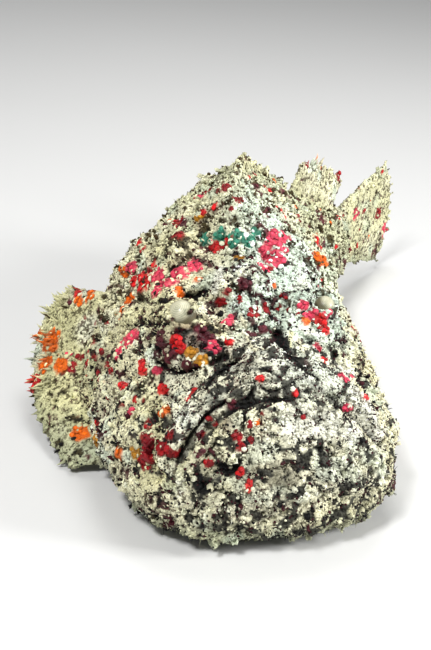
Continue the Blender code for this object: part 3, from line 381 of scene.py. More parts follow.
def nearest_cell(points: np.ndarray, size: float, seed: int) -> tuple[np.ndarray, np.ndarray]:
    """Scattered centres, one in each cube of space.

    Args:
        points: Places in metres.
        size: Width of a cube in metres.
        seed: Which scatter.

    Returns:
        Distance to the nearest centre in cube widths, and a draw that belongs to that centre.
    """
    place = points / size
    base = np.floor(place).astype(np.int64)
    best = np.full(len(points), 9.0)
    draw = np.zeros(len(points))
    for corner in itertools.product((-1, 0, 1), repeat=3):
        cell = base + np.array(corner)
        centre = cell + np.stack([hashed(cell, seed + axis) for axis in range(3)], axis=-1)
        distance = np.linalg.norm(place - centre, axis=-1)
        nearer = distance < best
        best = np.where(nearer, distance, best)
        draw = np.where(nearer, hashed(cell, seed + 7), draw)
    return best, draw


def redraw(draw: np.ndarray, step: float) -> np.ndarray:
    """Another draw from 0 to 1 out of each draw."""
    return draw * step % 1.0


def unit(vectors: np.ndarray) -> np.ndarray:
    """Vectors made one long."""
    return vectors / np.maximum(np.linalg.norm(vectors, axis=-1, keepdims=True), 1e-9)


def ramp(value: np.ndarray, start: float, end: float) -> np.ndarray:
    """0 before start and 1 past end, with a smooth turn between."""
    share = np.clip((value - start) / (end - start), 0.0, 1.0)
    return share * share * (3.0 - 2.0 * share)


def bell(distance: np.ndarray, reach: float) -> np.ndarray:
    """A smooth bump of height 1."""
    return np.exp(-((distance / reach) ** 2))


def blend(first: np.ndarray, second: np.ndarray, share: np.ndarray) -> np.ndarray:
    """Colours mixed by a share for each point."""
    return first + (second - first) * share[:, None]


# The fish's own frame


class FishFrame:
    """The fish's bent midline: side offset, station behind the lips and height of any point."""

    BEND_START = 0.045
    BEND_END = 0.215
    TAIL_HEADING = math.radians(48)
    STEPS = 700

    def __init__(self) -> None:
        """Places the midline from the solids of the jaw."""
        low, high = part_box("lower_jaw")
        self.nose = np.array([(low.x + high.x) / 2, high.y - JAW_DEPTH])
        self.stations = np.linspace(-0.02, TOTAL_LENGTH + 0.02, self.STEPS)
        step = self.stations[1] - self.stations[0]
        turn = self.heading(self.stations)
        run = np.stack([np.cumsum(np.sin(turn)), np.cumsum(np.cos(turn))], axis=-1) * step
        start = np.array([np.interp(0.0, self.stations, run[:, axis]) for axis in range(2)])
        self.line = self.nose + run - start

    def heading(self, station: np.ndarray) -> np.ndarray:
        """How far the midline has turned towards +X at each station."""
        return self.TAIL_HEADING * ramp(station, self.BEND_START, self.BEND_END)

    def to_body(self, points: np.ndarray) -> np.ndarray:
        """Side, station and height of points of the world.

        Args:
            points: World places in metres.

        Returns:
            Three values for each point.
        """
        nearest = np.concatenate([
            np.argmin(((block[:, None, :2] - self.line[None]) ** 2).sum(-1), axis=1)
            for block in np.array_split(points, max(1, len(points) // 8000))
        ])
        turn = self.heading(self.stations[nearest])
        offset = points[:, :2] - self.line[nearest]
        side = offset[:, 0] * np.cos(turn) - offset[:, 1] * np.sin(turn)
        ahead = offset[:, 0] * np.sin(turn) + offset[:, 1] * np.cos(turn)
        return np.stack([side, self.stations[nearest] + ahead, points[:, 2]], axis=-1)

    def to_world(self, body: np.ndarray) -> np.ndarray:
        """World places of points given by side, station and height.

        Args:
            body: Three values for each point.

        Returns:
            World places in metres.
        """
        turn = self.heading(body[:, 1])
        line = [np.interp(body[:, 1], self.stations, self.line[:, axis]) for axis in range(2)]
        x = line[0] + body[:, 0] * np.cos(turn)
        y = line[1] - body[:, 0] * np.sin(turn)
        return np.stack([x, y, body[:, 2]], axis=-1)


def mouth_height(side: np.ndarray) -> np.ndarray:
    """Height of the mouth's line at an offset to the side."""
    across = np.clip(np.abs(side) / MOUTH_HALF_WIDTH, 0.0, 1.0)
    return MOUTH_CORNER + (MOUTH_TOP - MOUTH_CORNER) * (1.0 - across**MOUTH_ARCH)


def mouth_distance(body: np.ndarray) -> np.ndarray:
    """Distance from the mouth's line seen from the front, below zero under it.

    Args:
        body: Side, station and height.

    Returns:
        Metres; far behind the face it is large.
    """
    sides = MOUTH_HALF_WIDTH * np.sin(np.linspace(-math.pi / 2, math.pi / 2, 151))
    line = np.stack([sides, mouth_height(sides)], axis=-1)
    nearest = np.full(len(body), 1.0)
    for point in line:
        nearest = np.minimum(nearest, np.hypot(body[:, 0] - point[0], body[:, 2] - point[1]))
    under = (np.abs(body[:, 0]) < MOUTH_HALF_WIDTH) & (body[:, 2] < mouth_height(body[:, 0]))
    signed = np.where(under, -nearest, nearest)
    return np.where(body[:, 1] > FACE_DEPTH, 1.0, signed)


def lip_depth(side: np.ndarray) -> np.ndarray:
    """How far the upper lip reaches from the mouth's line, less on the side it is drawn down."""
    across = np.clip(np.abs(side) / MOUTH_HALF_WIDTH, 0.0, 1.0)
    depth = UPPER_LIP_AT_CORNER + (UPPER_LIP_DEPTH - UPPER_LIP_AT_CORNER) * (1.0 - across**5)
    return depth * (1.0 - 0.62 * ramp(side, -0.003, 0.013))


# Camera


@dataclass(frozen=True)
class PhotoCamera:
    """The photo's view of the fish, from in front, its right side and above."""

    azimuth: float = math.radians(-18.5)
    elevation: float = math.radians(27.0)
    roll: float = math.radians(4.8)
    distance: float = 0.433
    lens: float = 74.98
    sensor: float = 36.0
    lip_top_station: float = 0.0107
    lip_top_pixel: tuple[float, float] = (284.0, 394.0)
    photo: tuple[float, float] = (431.0, 650.0)

    def aim(self, fish: FishFrame) -> Vector:
        """The top of the mouth, which the camera is set out from."""
        body = np.array([[0.0, self.lip_top_station, MOUTH_TOP]])
        return Vector(fish.to_world(body)[0])

    def turn(self) -> Quaternion:
        """The camera's rotation."""
        return self.back().to_track_quat("Z", "Y") @ Quaternion((0, 0, 1), self.roll)

    def back(self) -> Vector:
        """Direction from the fish to the camera."""
        across = math.cos(self.elevation)
        return Vector((
            math.sin(self.azimuth) * across,
            -math.cos(self.azimuth) * across,
            math.sin(self.elevation),
        ))

    def shift(self) -> tuple[float, float]:
        """The lens shift that puts the top of the mouth at its pixel."""
        x, y = self.lip_top_pixel
        width, height = self.photo
        return (width / 2 - x) / height, (y - height / 2) / height

    def stand(self, fish: FishFrame) -> Vector:
        """Where the camera stands."""
        return self.aim(fish) + self.back() * self.distance

    def ray(self, fish: FishFrame, x: float, y: float) -> tuple[Vector, Vector]:
        """The line of sight through a pixel of the photo.

        Args:
            fish: The fish's frame.
            x: Pixels from the left.
            y: Pixels from the top.

        Returns:
            Where it starts and its direction.
        """
        width, height = self.photo
        shift = self.shift()
        across = ((x - width / 2) / height + shift[0]) * self.sensor
        up = ((height / 2 - y) / height + shift[1]) * self.sensor
        direction = self.turn() @ Vector((across, up, -self.lens)).normalized()
        return self.stand(fish), direction

    def place(self, fish: FishFrame) -> None:
        """Makes the camera and gives it to the scene.

        Args:
            fish: The fish's frame.
        """
        data = bpy.data.cameras.new("photo_camera")
        data.lens, data.sensor_width = self.lens, self.sensor
        data.shift_x, data.shift_y = self.shift()
        data.clip_start, data.clip_end = 0.01, 20.0
        camera = bpy.data.objects.new("photo_camera", data)
        camera.location = self.stand(fish)
        camera.rotation_mode = "QUATERNION"
        camera.rotation_quaternion = self.turn()
        bpy.context.scene.collection.objects.link(camera)
        bpy.context.scene.camera = camera


# Shader maths


class Signal:
    """A value in a material that adds its Math nodes as it is used in sums."""

    def __init__(self, tree: bpy.types.NodeTree, socket: bpy.types.NodeSocket) -> None:
        """Wraps a socket of a node tree."""
        self.tree, self.socket = tree, socket

    def _sum(self, operation: str, first: "Signal | float", second: "Signal | float") -> "Signal":
        """Adds one Math node.

        Args:
            operation: What it does.
            first: Its first value.
            second: Its second value.

        Returns:
            Its result.
        """
        node = self.tree.nodes.new("ShaderNodeMath")
        node.operation = operation
        for slot, value in zip(node.inputs, (first, second)):
            if isinstance(value, Signal):
                self.tree.links.new(value.socket, slot)
            else:
                slot.default_value = value
        return Signal(self.tree, node.outputs[0])

    def __add__(self, other: "Signal | float") -> "Signal":
        """Sum."""
        return self._sum("ADD", self, other)

    def __radd__(self, other: float) -> "Signal":
        """Sum with a number first."""
        return self._sum("ADD", other, self)

    def __sub__(self, other: "Signal | float") -> "Signal":
        """Difference."""
        return self._sum("SUBTRACT", self, other)

    def __rsub__(self, other: float) -> "Signal":
        """Difference from a number."""
        return self._sum("SUBTRACT", other, self)

    def __mul__(self, other: "Signal | float") -> "Signal":
        """Product."""
        return self._sum("MULTIPLY", self, other)

    def __rmul__(self, other: float) -> "Signal":
        """Product with a number first."""
        return self._sum("MULTIPLY", other, self)

    def limited(self) -> "Signal":
        """The value kept from 0 to 1."""
        high = self._sum("MINIMUM", self, 1.0)
        return high._sum("MAXIMUM", high, 0.0)


class Bench:
    """A new material and one way to add nodes to it."""

    def __init__(self, name: str) -> None:
        """Starts a material with only its Principled shader.

        Args:
            name: The material's name.
        """
        self.material = bpy.data.materials.new(name)
        self.material.use_nodes = True
        self.tree = self.material.node_tree
        self.shader = self.tree.nodes["Principled BSDF"]

    def node(
        self, kind: str, settings: dict | None = None, inputs: dict | None = None
    ) -> bpy.types.Node:
        """Adds a node.

        Args:
            kind: Blender's node type.
            settings: Properties that are set first.
            inputs: Values or links by socket name or number.

        Returns:
            The node.
        """
        node = self.tree.nodes.new(kind)
        for key, value in (settings or {}).items():
            setattr(node, key, value)
        for key, value in (inputs or {}).items():
            self.feed(node.inputs[key], value)
        return node

    def feed(self, slot: bpy.types.NodeSocket, value: object) -> None:
        """Links or sets one socket.

        Args:
            slot: The socket.
            value: A link or a plain value.
        """
        if isinstance(value, Signal):
            self.tree.links.new(value.socket, slot)
        elif isinstance(value, bpy.types.NodeSocket):
            self.tree.links.new(value, slot)
        else:
            slot.default_value = value

    def place(self) -> bpy.types.NodeSocket:
        """Object coordinates."""
        return self.node("ShaderNodeTexCoord").outputs["Object"]

    def signal(self, socket: bpy.types.NodeSocket) -> Signal:
        """A socket that can be used in sums."""
        return Signal(self.tree, socket)

    def noise(self, size: float, detail: float = 3.0) -> Signal:
        """Noise from 0 to 1 with swells of a size in metres."""
        inputs = {"Vector": self.place(), "Scale": 1.0 / size, "Detail": detail}
        return self.signal(self.node("ShaderNodeTexNoise", None, inputs).outputs["Fac"])

    def cells(self, size: float) -> Signal:
        """Distance to the nearest of centres a size in metres apart."""
        inputs = {"Vector": self.place(), "Scale": 1.0 / size}
        return self.signal(self.node("ShaderNodeTexVoronoi", None, inputs).outputs["Distance"])

    def mix(self, share: Signal, first: object, second: object) -> bpy.types.NodeSocket:
        """A colour between two colours."""
        settings = {"data_type": "RGBA"}
        node = self.node("ShaderNodeMix", settings, {0: share, 6: first, 7: second})
        return node.outputs[2]

    def bump(self, height: Signal, distance: float, strength: float) -> None:
        """Relief on the shader's normal."""
        inputs = {"Height": height, "Distance": distance, "Strength": strength}
        node = self.node("ShaderNodeBump", None, inputs)
        self.feed(self.shader.inputs["Normal"], node.outputs["Normal"])


@dataclass(frozen=True)
class FleshFinish:
    """Skin and its growths, coloured by the piece's own paint and flecked with dark gaps."""

    name: str
    roughness: float = 0.58
    fleck: float = 0.0018
    fleck_share: float = 0.85
    relief: float = 0.0007
    shine: float = 0.16

    def material(self) -> bpy.types.Material:
        """Builds the material.

        Returns:
            The material.
        """
        bench = Bench(self.name)
        layer = bench.node("ShaderNodeVertexColor", {"layer_name": "paint"})
        paint, flecked = layer.outputs["Color"], bench.signal(layer.outputs["Alpha"])
        swell = bench.noise(self.fleck, 4.0)
        grain = bench.cells(self.fleck * 0.62)
        patchy = bench.noise(self.fleck * 6.0, 2.0)
        gaps = ((swell - 0.51) * 9.0 + (grain - 0.42) * 1.3 + (patchy - 0.5) * 2.2).limited()
        # Painted glints: specks of the paint brightened as highlights
        glints = ((0.44 - swell) * 9.0).limited()
        shade = bench.mix(
            ((bench.noise(0.0045, 2.0) - 0.56) * 7.0 + 0.3).limited(),
            Tint.OLIVE.at(0.9),
            Tint.MAROON.at(0.6),
        )
        stain = bench.node(
            "ShaderNodeVectorMath", {"operation": "MULTIPLY"}, {0: paint, 1: shade}
        )
        bright = bench.node("ShaderNodeVectorMath", {"operation": "SCALE"}, {0: paint, 3: 1.22})
        lit = bench.mix(glints * flecked * 0.6, paint, bright.outputs[0])
        base = bench.mix(gaps * flecked * self.fleck_share, lit, stain.outputs[0])
        bench.feed(bench.shader.inputs["Base Color"], base)
        bench.feed(bench.shader.inputs["Roughness"], patchy * 0.3 + (self.roughness - 0.15))
        bench.shader.inputs["Specular IOR Level"].default_value = self.shine
        bench.bump(1.0 - grain + (1.0 - swell) * 1.6, self.relief, 0.8)
        return bench.material


@dataclass(frozen=True)
class EyeFinish:
    """The smooth pale dome of the eye, with fine rings round its middle."""

    name: str = "eye_dome"
    roughness: float = 0.48

    def material(self) -> bpy.types.Material:
        """Builds the material.

        Returns:
            The material.
        """
        bench = Bench(self.name)
        turn = bench.node("ShaderNodeAttribute", {"attribute_name": "from_middle"}).outputs["Fac"]
        warp = bench.noise(0.0022, 3.0)
        wave = bench.node(
            "ShaderNodeMath", {"operation": "SINE"}, {0: bench.signal(turn) * 44.0 + warp * 7.0}
        )
        rings = (bench.signal(wave.outputs[0]) * 0.5 + 0.5) * 0.45
        veined = (rings + (warp - 0.5) * 1.5).limited()
        lined = bench.mix(veined, Tint.CREAM.at(0.56), Tint.SAGE.at(0.34))
        # Painted shade: the dome darkens to olive towards its edge, under the lids
        rim = ((bench.signal(turn) - 0.80) * 2.6).limited()
        base = bench.mix(rim * 0.85, lined, Tint.OLIVE.at(0.9))
        bench.feed(bench.shader.inputs["Base Color"], base)
        bench.feed(bench.shader.inputs["Roughness"], warp * 0.2 + self.roughness - 0.1)
        bench.shader.inputs["Coat Weight"].default_value = 0.12
        bench.bump(rings, 0.0001, 0.35)
        return bench.material


@dataclass(frozen=True)
class FloorFinish:
    """A plain pale floor."""

    name: str = "studio_floor"

    def material(self) -> bpy.types.Material:
        """Builds the material."""
        bench = Bench(self.name)
        pale, paler = (0.60, 0.60, 0.59, 1.0), (0.64, 0.64, 0.63, 1.0)
        bench.feed(bench.shader.inputs["Base Color"], bench.mix(bench.noise(0.4), pale, paler))
        bench.shader.inputs["Roughness"].default_value = 0.85
        return bench.material


# Meshes


def select_only(*objects: bpy.types.Object) -> None:
    """Selects these objects alone and makes the first active."""
    bpy.ops.object.select_all(action="DESELECT")
    for obj in objects:
        obj.select_set(True)
    bpy.context.view_layer.objects.active = objects[0]


@contextmanager
def edit_mode() -> Iterator[None]:
    """Edit mode on the active object for the lines inside."""
    bpy.ops.object.mode_set(mode="EDIT")
    yield
    bpy.ops.object.mode_set(mode="OBJECT")


def places_of(mesh: bpy.types.Mesh) -> np.ndarray:
    """The places of a mesh's points."""
    flat = np.empty(len(mesh.vertices) * 3, np.float32)
    mesh.vertices.foreach_get("co", flat)
    return flat.reshape(-1, 3).astype(float)


def normals_of(mesh: bpy.types.Mesh) -> np.ndarray:
    """The outward directions at a mesh's points."""
    flat = np.empty(len(mesh.vertices) * 3, np.float32)
    mesh.vertex_normals.foreach_get("vector", flat)
    return flat.reshape(-1, 3).astype(float)


def move_points(mesh: bpy.types.Mesh, places: np.ndarray) -> None:
    """Puts a mesh's points at new places."""
    mesh.vertices.foreach_set("co", places.astype(np.float32).ravel())
    mesh.update()


def paint_points(mesh: bpy.types.Mesh, colours: np.ndarray, flecked: np.ndarray) -> None:
    """Writes a colour for each point to the mesh's paint, and how flecked it is.

    Args:
        mesh: The mesh.
        colours: Linear colours.
        flecked: From 0, smooth, to 1, full of dark gaps.
    """
    layer = mesh.color_attributes.new("paint", "FLOAT_COLOR", "POINT")
    values = np.concatenate([colours, flecked[:, None]], axis=1)
    layer.data.foreach_set("color", values.astype(np.float32).ravel())


@dataclass(frozen=True)
class Mark:
    """One mark of the photo on the skin: a spot, or the points along a fold."""

    points: np.ndarray
    reach: float
    tint: Tint
    strength: float = 1.0
    rise: float = 0.0

    def distance(self, rest: np.ndarray) -> np.ndarray:
        """Distance of places from the mark.

        Args:
            rest: The places.

        Returns:
            Distances in the mark's own reaches.
        """
        nearest = np.full(len(rest), 1.0)
        for point in self.points:
            nearest = np.minimum(nearest, np.linalg.norm(rest - point, axis=-1))
        return nearest / self.reach

    def share(self, rest: np.ndarray, inner: float, outer: float) -> np.ndarray:
        """How strongly the mark shows: in full up to the inner reach, and not past the outer."""
        return (1.0 - ramp(self.distance(rest), inner, outer)) * self.strength


@dataclass
class Painter:
    """The fish's colours at any place of the finished skin."""

    spots: list[Mark]
    shades: list[Mark]
    folds: list[Mark]
    middle: np.ndarray

    # How each tone changes the bare, dark share of the skin: ink adds painted shade, white takes it
    # away
    BARER: ClassVar[dict[Tint, float]] = {
        Tint.INK: 0.30,
        Tint.MAROON: 0.12,
        Tint.OLIVE: 0.08,
        Tint.GREY: 0.06,
        Tint.WHITE: -0.20,
        Tint.MINT: -0.10,
    }
    STREWN: ClassVar[tuple[Tint, ...]] = (
        Tint.DARK_RED, Tint.RED, Tint.PINK, Tint.MAROON, Tint.ORANGE, Tint.RED
    )
    STREWN_CRUSTS: ClassVar[tuple[tuple[float, int, float], ...]] = (
        (0.0125, 40, 0.55), (0.0068, 60, 0.30)
    )
    UNSEEN: ClassVar[tuple[float, float]] = (0.052, 0.070)
    CRUST_EDGE: ClassVar[tuple[float, float]] = (0.90, 1.08)

    def ground(self, where: "Skin | Roots") -> np.ndarray:
        """The skin's bright colour, without spots and black folds.

        Args:
            where: The skin, or roots on it.

        Returns:
            Linear colours.
        """
        side, station, height = where.body.T
        cloud = Swell.CLOUD.over(where.places)
        colour = np.tile(Tint.CREAM.linear, (len(side), 1))
        tinge = ramp(Swell.TINGE.over(where.places), 0.55, 0.75)
        colour = blend(colour, Tint.MINT.linear, 0.6 * tinge)
        warm = 0.30 + 0.25 * where.fin + 0.40 * ramp(-side, 0.004, 0.028)
        colour = blend(colour, Tint.STRAW.linear, ramp(cloud, 0.20, 0.70) * warm)
        rear = ramp(station, *REAR)
        green = rear * (0.10 + 0.40 * cloud) * (1.0 - 0.6 * where.fin)
        colour = blend(colour, Tint.SAGE.linear, green)
        crown = ramp(side, -0.012, 0.010) * ramp(height, 0.045, 0.062) * (1.0 - rear)
        colour = blend(colour, Tint.MINT.linear, 0.85 * crown)
        colour = blend(colour, Tint.WHITE.linear, 0.5 * self.lip_share(where.body))
        jaw = ramp(-mouth_distance(where.body), 0.0, 0.003) * ramp(height, 0.012, 0.024)
        colour = blend(colour, Tint.WHITE.linear, 0.35 * jaw) * (1.0 - 0.06 * jaw)[:, None]
        # Darker and greener towards the floor: painted shade under the body
        colour = blend(colour, Tint.SAGE.linear * 0.7, 0.60 * (1.0 - ramp(height, 0.003, 0.020)))
        # Tones and pale folds laid on, the white tones partly painted light on the lit right side
        for mark in (*self.shades, *self.folds):
            if mark.tint is not Tint.INK:
                share = mark.share(where.places, 0.45, 1.25)
                colour = blend(colour, mark.tint.linear, share)
        return colour * (0.72 + 0.52 * Swell.DRIFT.over(where.places))[:, None]

    @staticmethod
    def lip_share(body: np.ndarray) -> np.ndarray:
        """1 on the upper lip."""
        distance = mouth_distance(body)
        outer = distance / lip_depth(body[:, 0])
        return ramp(distance, -0.0015, 0.0006) * (1.0 - ramp(outer, 0.95, 1.20))

    def gloom(self, where: "Skin | Roots") -> np.ndarray:
        """Painted shade: how black the pits, folds and the mouth's slit are painted, with the
        shadows under the jaw.

        Args:
            where: The skin, or roots on it.

        Returns:
            From 0 to 1.
        """
        side = where.body[:, 0]
        open_mouth = ramp(side, *MOUTH_OPENS) * (1.0 - 0.6 * ramp(side, -0.004, 0.008))
        total = bell(mouth_distance(where.body), SLIT_REACH) * open_mouth
        # The hidden side's hollows, painted black as shade
        for *place, reach, rise in POCKETS:
            if rise < 0:
                offset = np.linalg.norm(where.body - np.array(place), axis=-1)
                total = np.maximum(total, 0.9 * bell(offset, reach))
        for mark in (*self.shades, *self.folds):
            if mark.tint is Tint.INK:
                total = np.maximum(total, mark.share(where.places, 0.55, 1.30))
        return total

    def bare(self, where: "Skin | Roots") -> np.ndarray:
        """How dark and bare the skin is between its patches of crumbs.

        Args:
            where: The skin, or roots on it.

        Returns:
            From 0 to 1.
        """
        side, station, height = where.body.T
        level = Swell.GAPS.over(where.places) + 0.45 * (Swell.WIDE_GAPS.over(where.places) - 0.5)
        # Barer and darker towards the floor: painted shade under the body
        low = 1.0 - ramp(height, 0.008, 0.026)
        lip = 0.03 * self.lip_share(where.body) * (1.0 - 1.6 * ramp(side, -0.002, 0.012))
        level = level - 0.18 * where.fin + lip + 0.12 * low - 0.03 * ramp(station, *NAPE)
        # Ink tones bare and darken the skin as painted shade; white ones clear it, partly as
        # painted light
        for mark in self.shades:
            barer = self.BARER.get(mark.tint, 0.0)
            level = level + barer * mark.share(where.places, 0.6, 1.3)
        return ramp(level, 0.55, 0.68)

    def spot_share(self, world: np.ndarray) -> tuple[np.ndarray, np.ndarray]:
        """The coloured crusts: the photo's own, and strewn ones where it doesn't show the fish.

        Args:
            world: Places in metres.

        Returns:
            How strongly a crust colours each place, and its colour there.
        """
        ragged = 0.62 + 0.76 * Swell.RAGGED.over(world)
        share = np.zeros(len(world))
        colour = np.zeros((len(world), 3))
        for mark in self.spots:
            here = 1.0 - ramp(mark.distance(world) / ragged, *self.CRUST_EDGE)
            colour = np.where((here > share)[:, None], mark.tint.linear, colour)
            share = np.maximum(share, here)
        unseen = ramp(np.linalg.norm(world - self.middle, axis=-1), *self.UNSEEN)
        strewn = np.array([tint.linear for tint in self.STREWN])
        for size, seed, amount in self.STREWN_CRUSTS:
            distance, draw = nearest_cell(world, size, seed)
            kept = (draw < amount * unseen).astype(float)
            radius = 0.14 + 0.34 * draw
            here = kept * (1.0 - ramp(distance / (radius * ragged), *self.CRUST_EDGE))
            pick = (draw * 977.0).astype(int) % len(strewn)
            colour = np.where((here > share)[:, None], strewn[pick], colour)
            share = np.maximum(share, here)
        return share, colour

    def skin(self, skin: "Skin") -> np.ndarray:
        """The bare skin's colour and how flecked it is.

        Args:
            skin: The skin.

        Returns:
            Four values for each of its points: a linear colour, and flecks from 0 to 1.
        """
        colour = self.ground(skin) * 0.85
        mouth = ramp(-mouth_distance(skin.body), -0.018, -0.010)
        red = Swell.REDNESS.over(skin.places) - 0.3 * mouth
        stain = np.where((red > 0.54)[:, None], Tint.MAROON.linear, Tint.OLIVE.linear)
        grey = 0.85 * np.maximum(self.lip_share(skin.body), mouth)
        stain = blend(stain, Tint.GREY.linear * 0.16, grey)
        # Dark where the skin is bare, and painted shade where its relief sinks
        dark = np.maximum(self.bare(skin), 0.8 * ramp(-skin.rise, 0.0001, 0.0010))
        behind = ramp(skin.body[:, 1], *NAPE)
        colour = blend(colour, stain * (0.50 + 0.40 * behind)[:, None], 0.97 * dark)
        # Painted shade: black in the pits, folds and the mouth's slit
        gloom = ramp(self.gloom(skin), 0.15, 0.70)
        colour = blend(colour, Tint.INK.linear * 0.5, 0.97 * gloom)
        spot, tint = self.spot_share(skin.places)
        colour = blend(colour, tint * 0.75, spot * 0.95)
        return np.concatenate([colour, (1.0 - 0.80 * spot)[:, None]], axis=1)

    def growth(self, roots: "Roots", draw: np.ndarray, plan: "GrowthPlan") -> np.ndarray:
        """The colour of growths at their roots.

        Args:
            roots: Where they grow.
            draw: A draw from 0 to 1 for each growth.
            plan: What grows.

        Returns:
            Linear colours.
        """
        if plan.kind is GrowthKind.LEAF:
            maroon = np.tile(Tint.MAROON.linear, (len(draw), 1))
            return blend(maroon, Tint.DARK_RED.linear, 0.2 + 0.7 * draw)
        # Growths in the painted shade of pits and folds are mostly dark
        dark = plan.dark + 0.12 * self.lip_share(roots.body) + 0.75 * self.gloom(roots)
        dark = dark + 0.55 * self.bare(roots)
        reddish = (redraw(draw, 7.3) > 0.6)[:, None]
        stain = np.where(reddish, Tint.MAROON.linear * 0.5, Tint.INK.linear)
        stain = blend(stain, Tint.OLIVE.linear * 1.3, 0.75 * ramp(roots.body[:, 1], *NAPE))
        colour = self.ground(roots) * (0.80 + 0.46 * redraw(draw, 3.7))[:, None]
        colour = np.where((draw < dark)[:, None], stain, colour)
        spot, tint = self.spot_share(roots.places)
        lit = tint * (0.42 + 0.80 * redraw(draw, 5.1))[:, None]
        crusted = (spot > 0.35) & (redraw(draw, 11.3) > 0.17)
        share = np.where(crusted, 1.0, 0.0) if plan.kind is GrowthKind.CRUST else spot * 0.9
        return np.clip(blend(colour, lit, share), 0.0, 1.0)


@dataclass
class Roots:
    """Places on the skin where growths are rooted, with the skin's own values there."""

    places: np.ndarray
    normals: np.ndarray
    body: np.ndarray
    fin: np.ndarray
    outward: np.ndarray

    def part(self, chosen: np.ndarray) -> "Roots":
        """Some of the roots."""
        return Roots(*(getattr(self, field)[chosen] for field in self.__dataclass_fields__))


@dataclass
class EyeDome:
    """One eye: a smooth dome set in the skin's lids, moved a little from its solid's place."""

    side_name: str
    outward: float
    size: float = 1.0
    shift: tuple[float, float, float] = (0.0, 0.0, 0.0)
    look_ahead: float = 0.45
    look_up: float = 0.9
    segments: int = 48
    rings: int = 32

    @property
    def centre(self) -> Vector:
        """The dome's middle."""
        low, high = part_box(f"eye_{self.side_name}")
        return (low + high) / 2 + Vector(self.shift)

    @property
    def radius(self) -> float:
        """The dome's radius."""
        low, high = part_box(f"eye_{self.side_name}")
        return (high.z - low.z) / 2 * self.size

    @property
    def look(self) -> Vector:
        """Which way the dome faces."""
        return Vector((self.outward, -self.look_ahead, self.look_up)).normalized()

    def gap(self, places: np.ndarray) -> np.ndarray:
        """Distance of places from the dome, below zero inside it."""
        return np.linalg.norm(places - np.array(self.centre), axis=-1) - self.radius

    def build(self, material: bpy.types.Material) -> bpy.types.Object:
        """Builds the eye in place of its solid.

        Args:
            material: The eye's finish.

        Returns:
            The eye.
        """
        radius = self.radius
        bpy.ops.object.select_all(action="DESELECT")
        bpy.ops.mesh.primitive_uv_sphere_add(
            segments=self.segments, ring_count=self.rings, radius=radius
        )
        obj = bpy.context.view_layer.objects.active
        obj.name = obj.data.name = f"eye_dome_{self.side_name}"
        turn = self.look.to_track_quat("Z", "Y").to_matrix().to_4x4()
        points = places_of(obj.data)
        from_middle = np.arccos(np.clip(points[:, 2] / radius, -1.0, 1.0))
        obj.data.transform(Matrix.Translation(self.centre) @ turn)
        layer = obj.data.attributes.new("from_middle", "FLOAT", "POINT")
        layer.data.foreach_set("value", from_middle.astype(np.float32))
        bpy.ops.object.shade_smooth()
        obj.data.materials.append(material)
        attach(obj, "root")
        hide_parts(f"eye_{self.side_name}")
        return obj


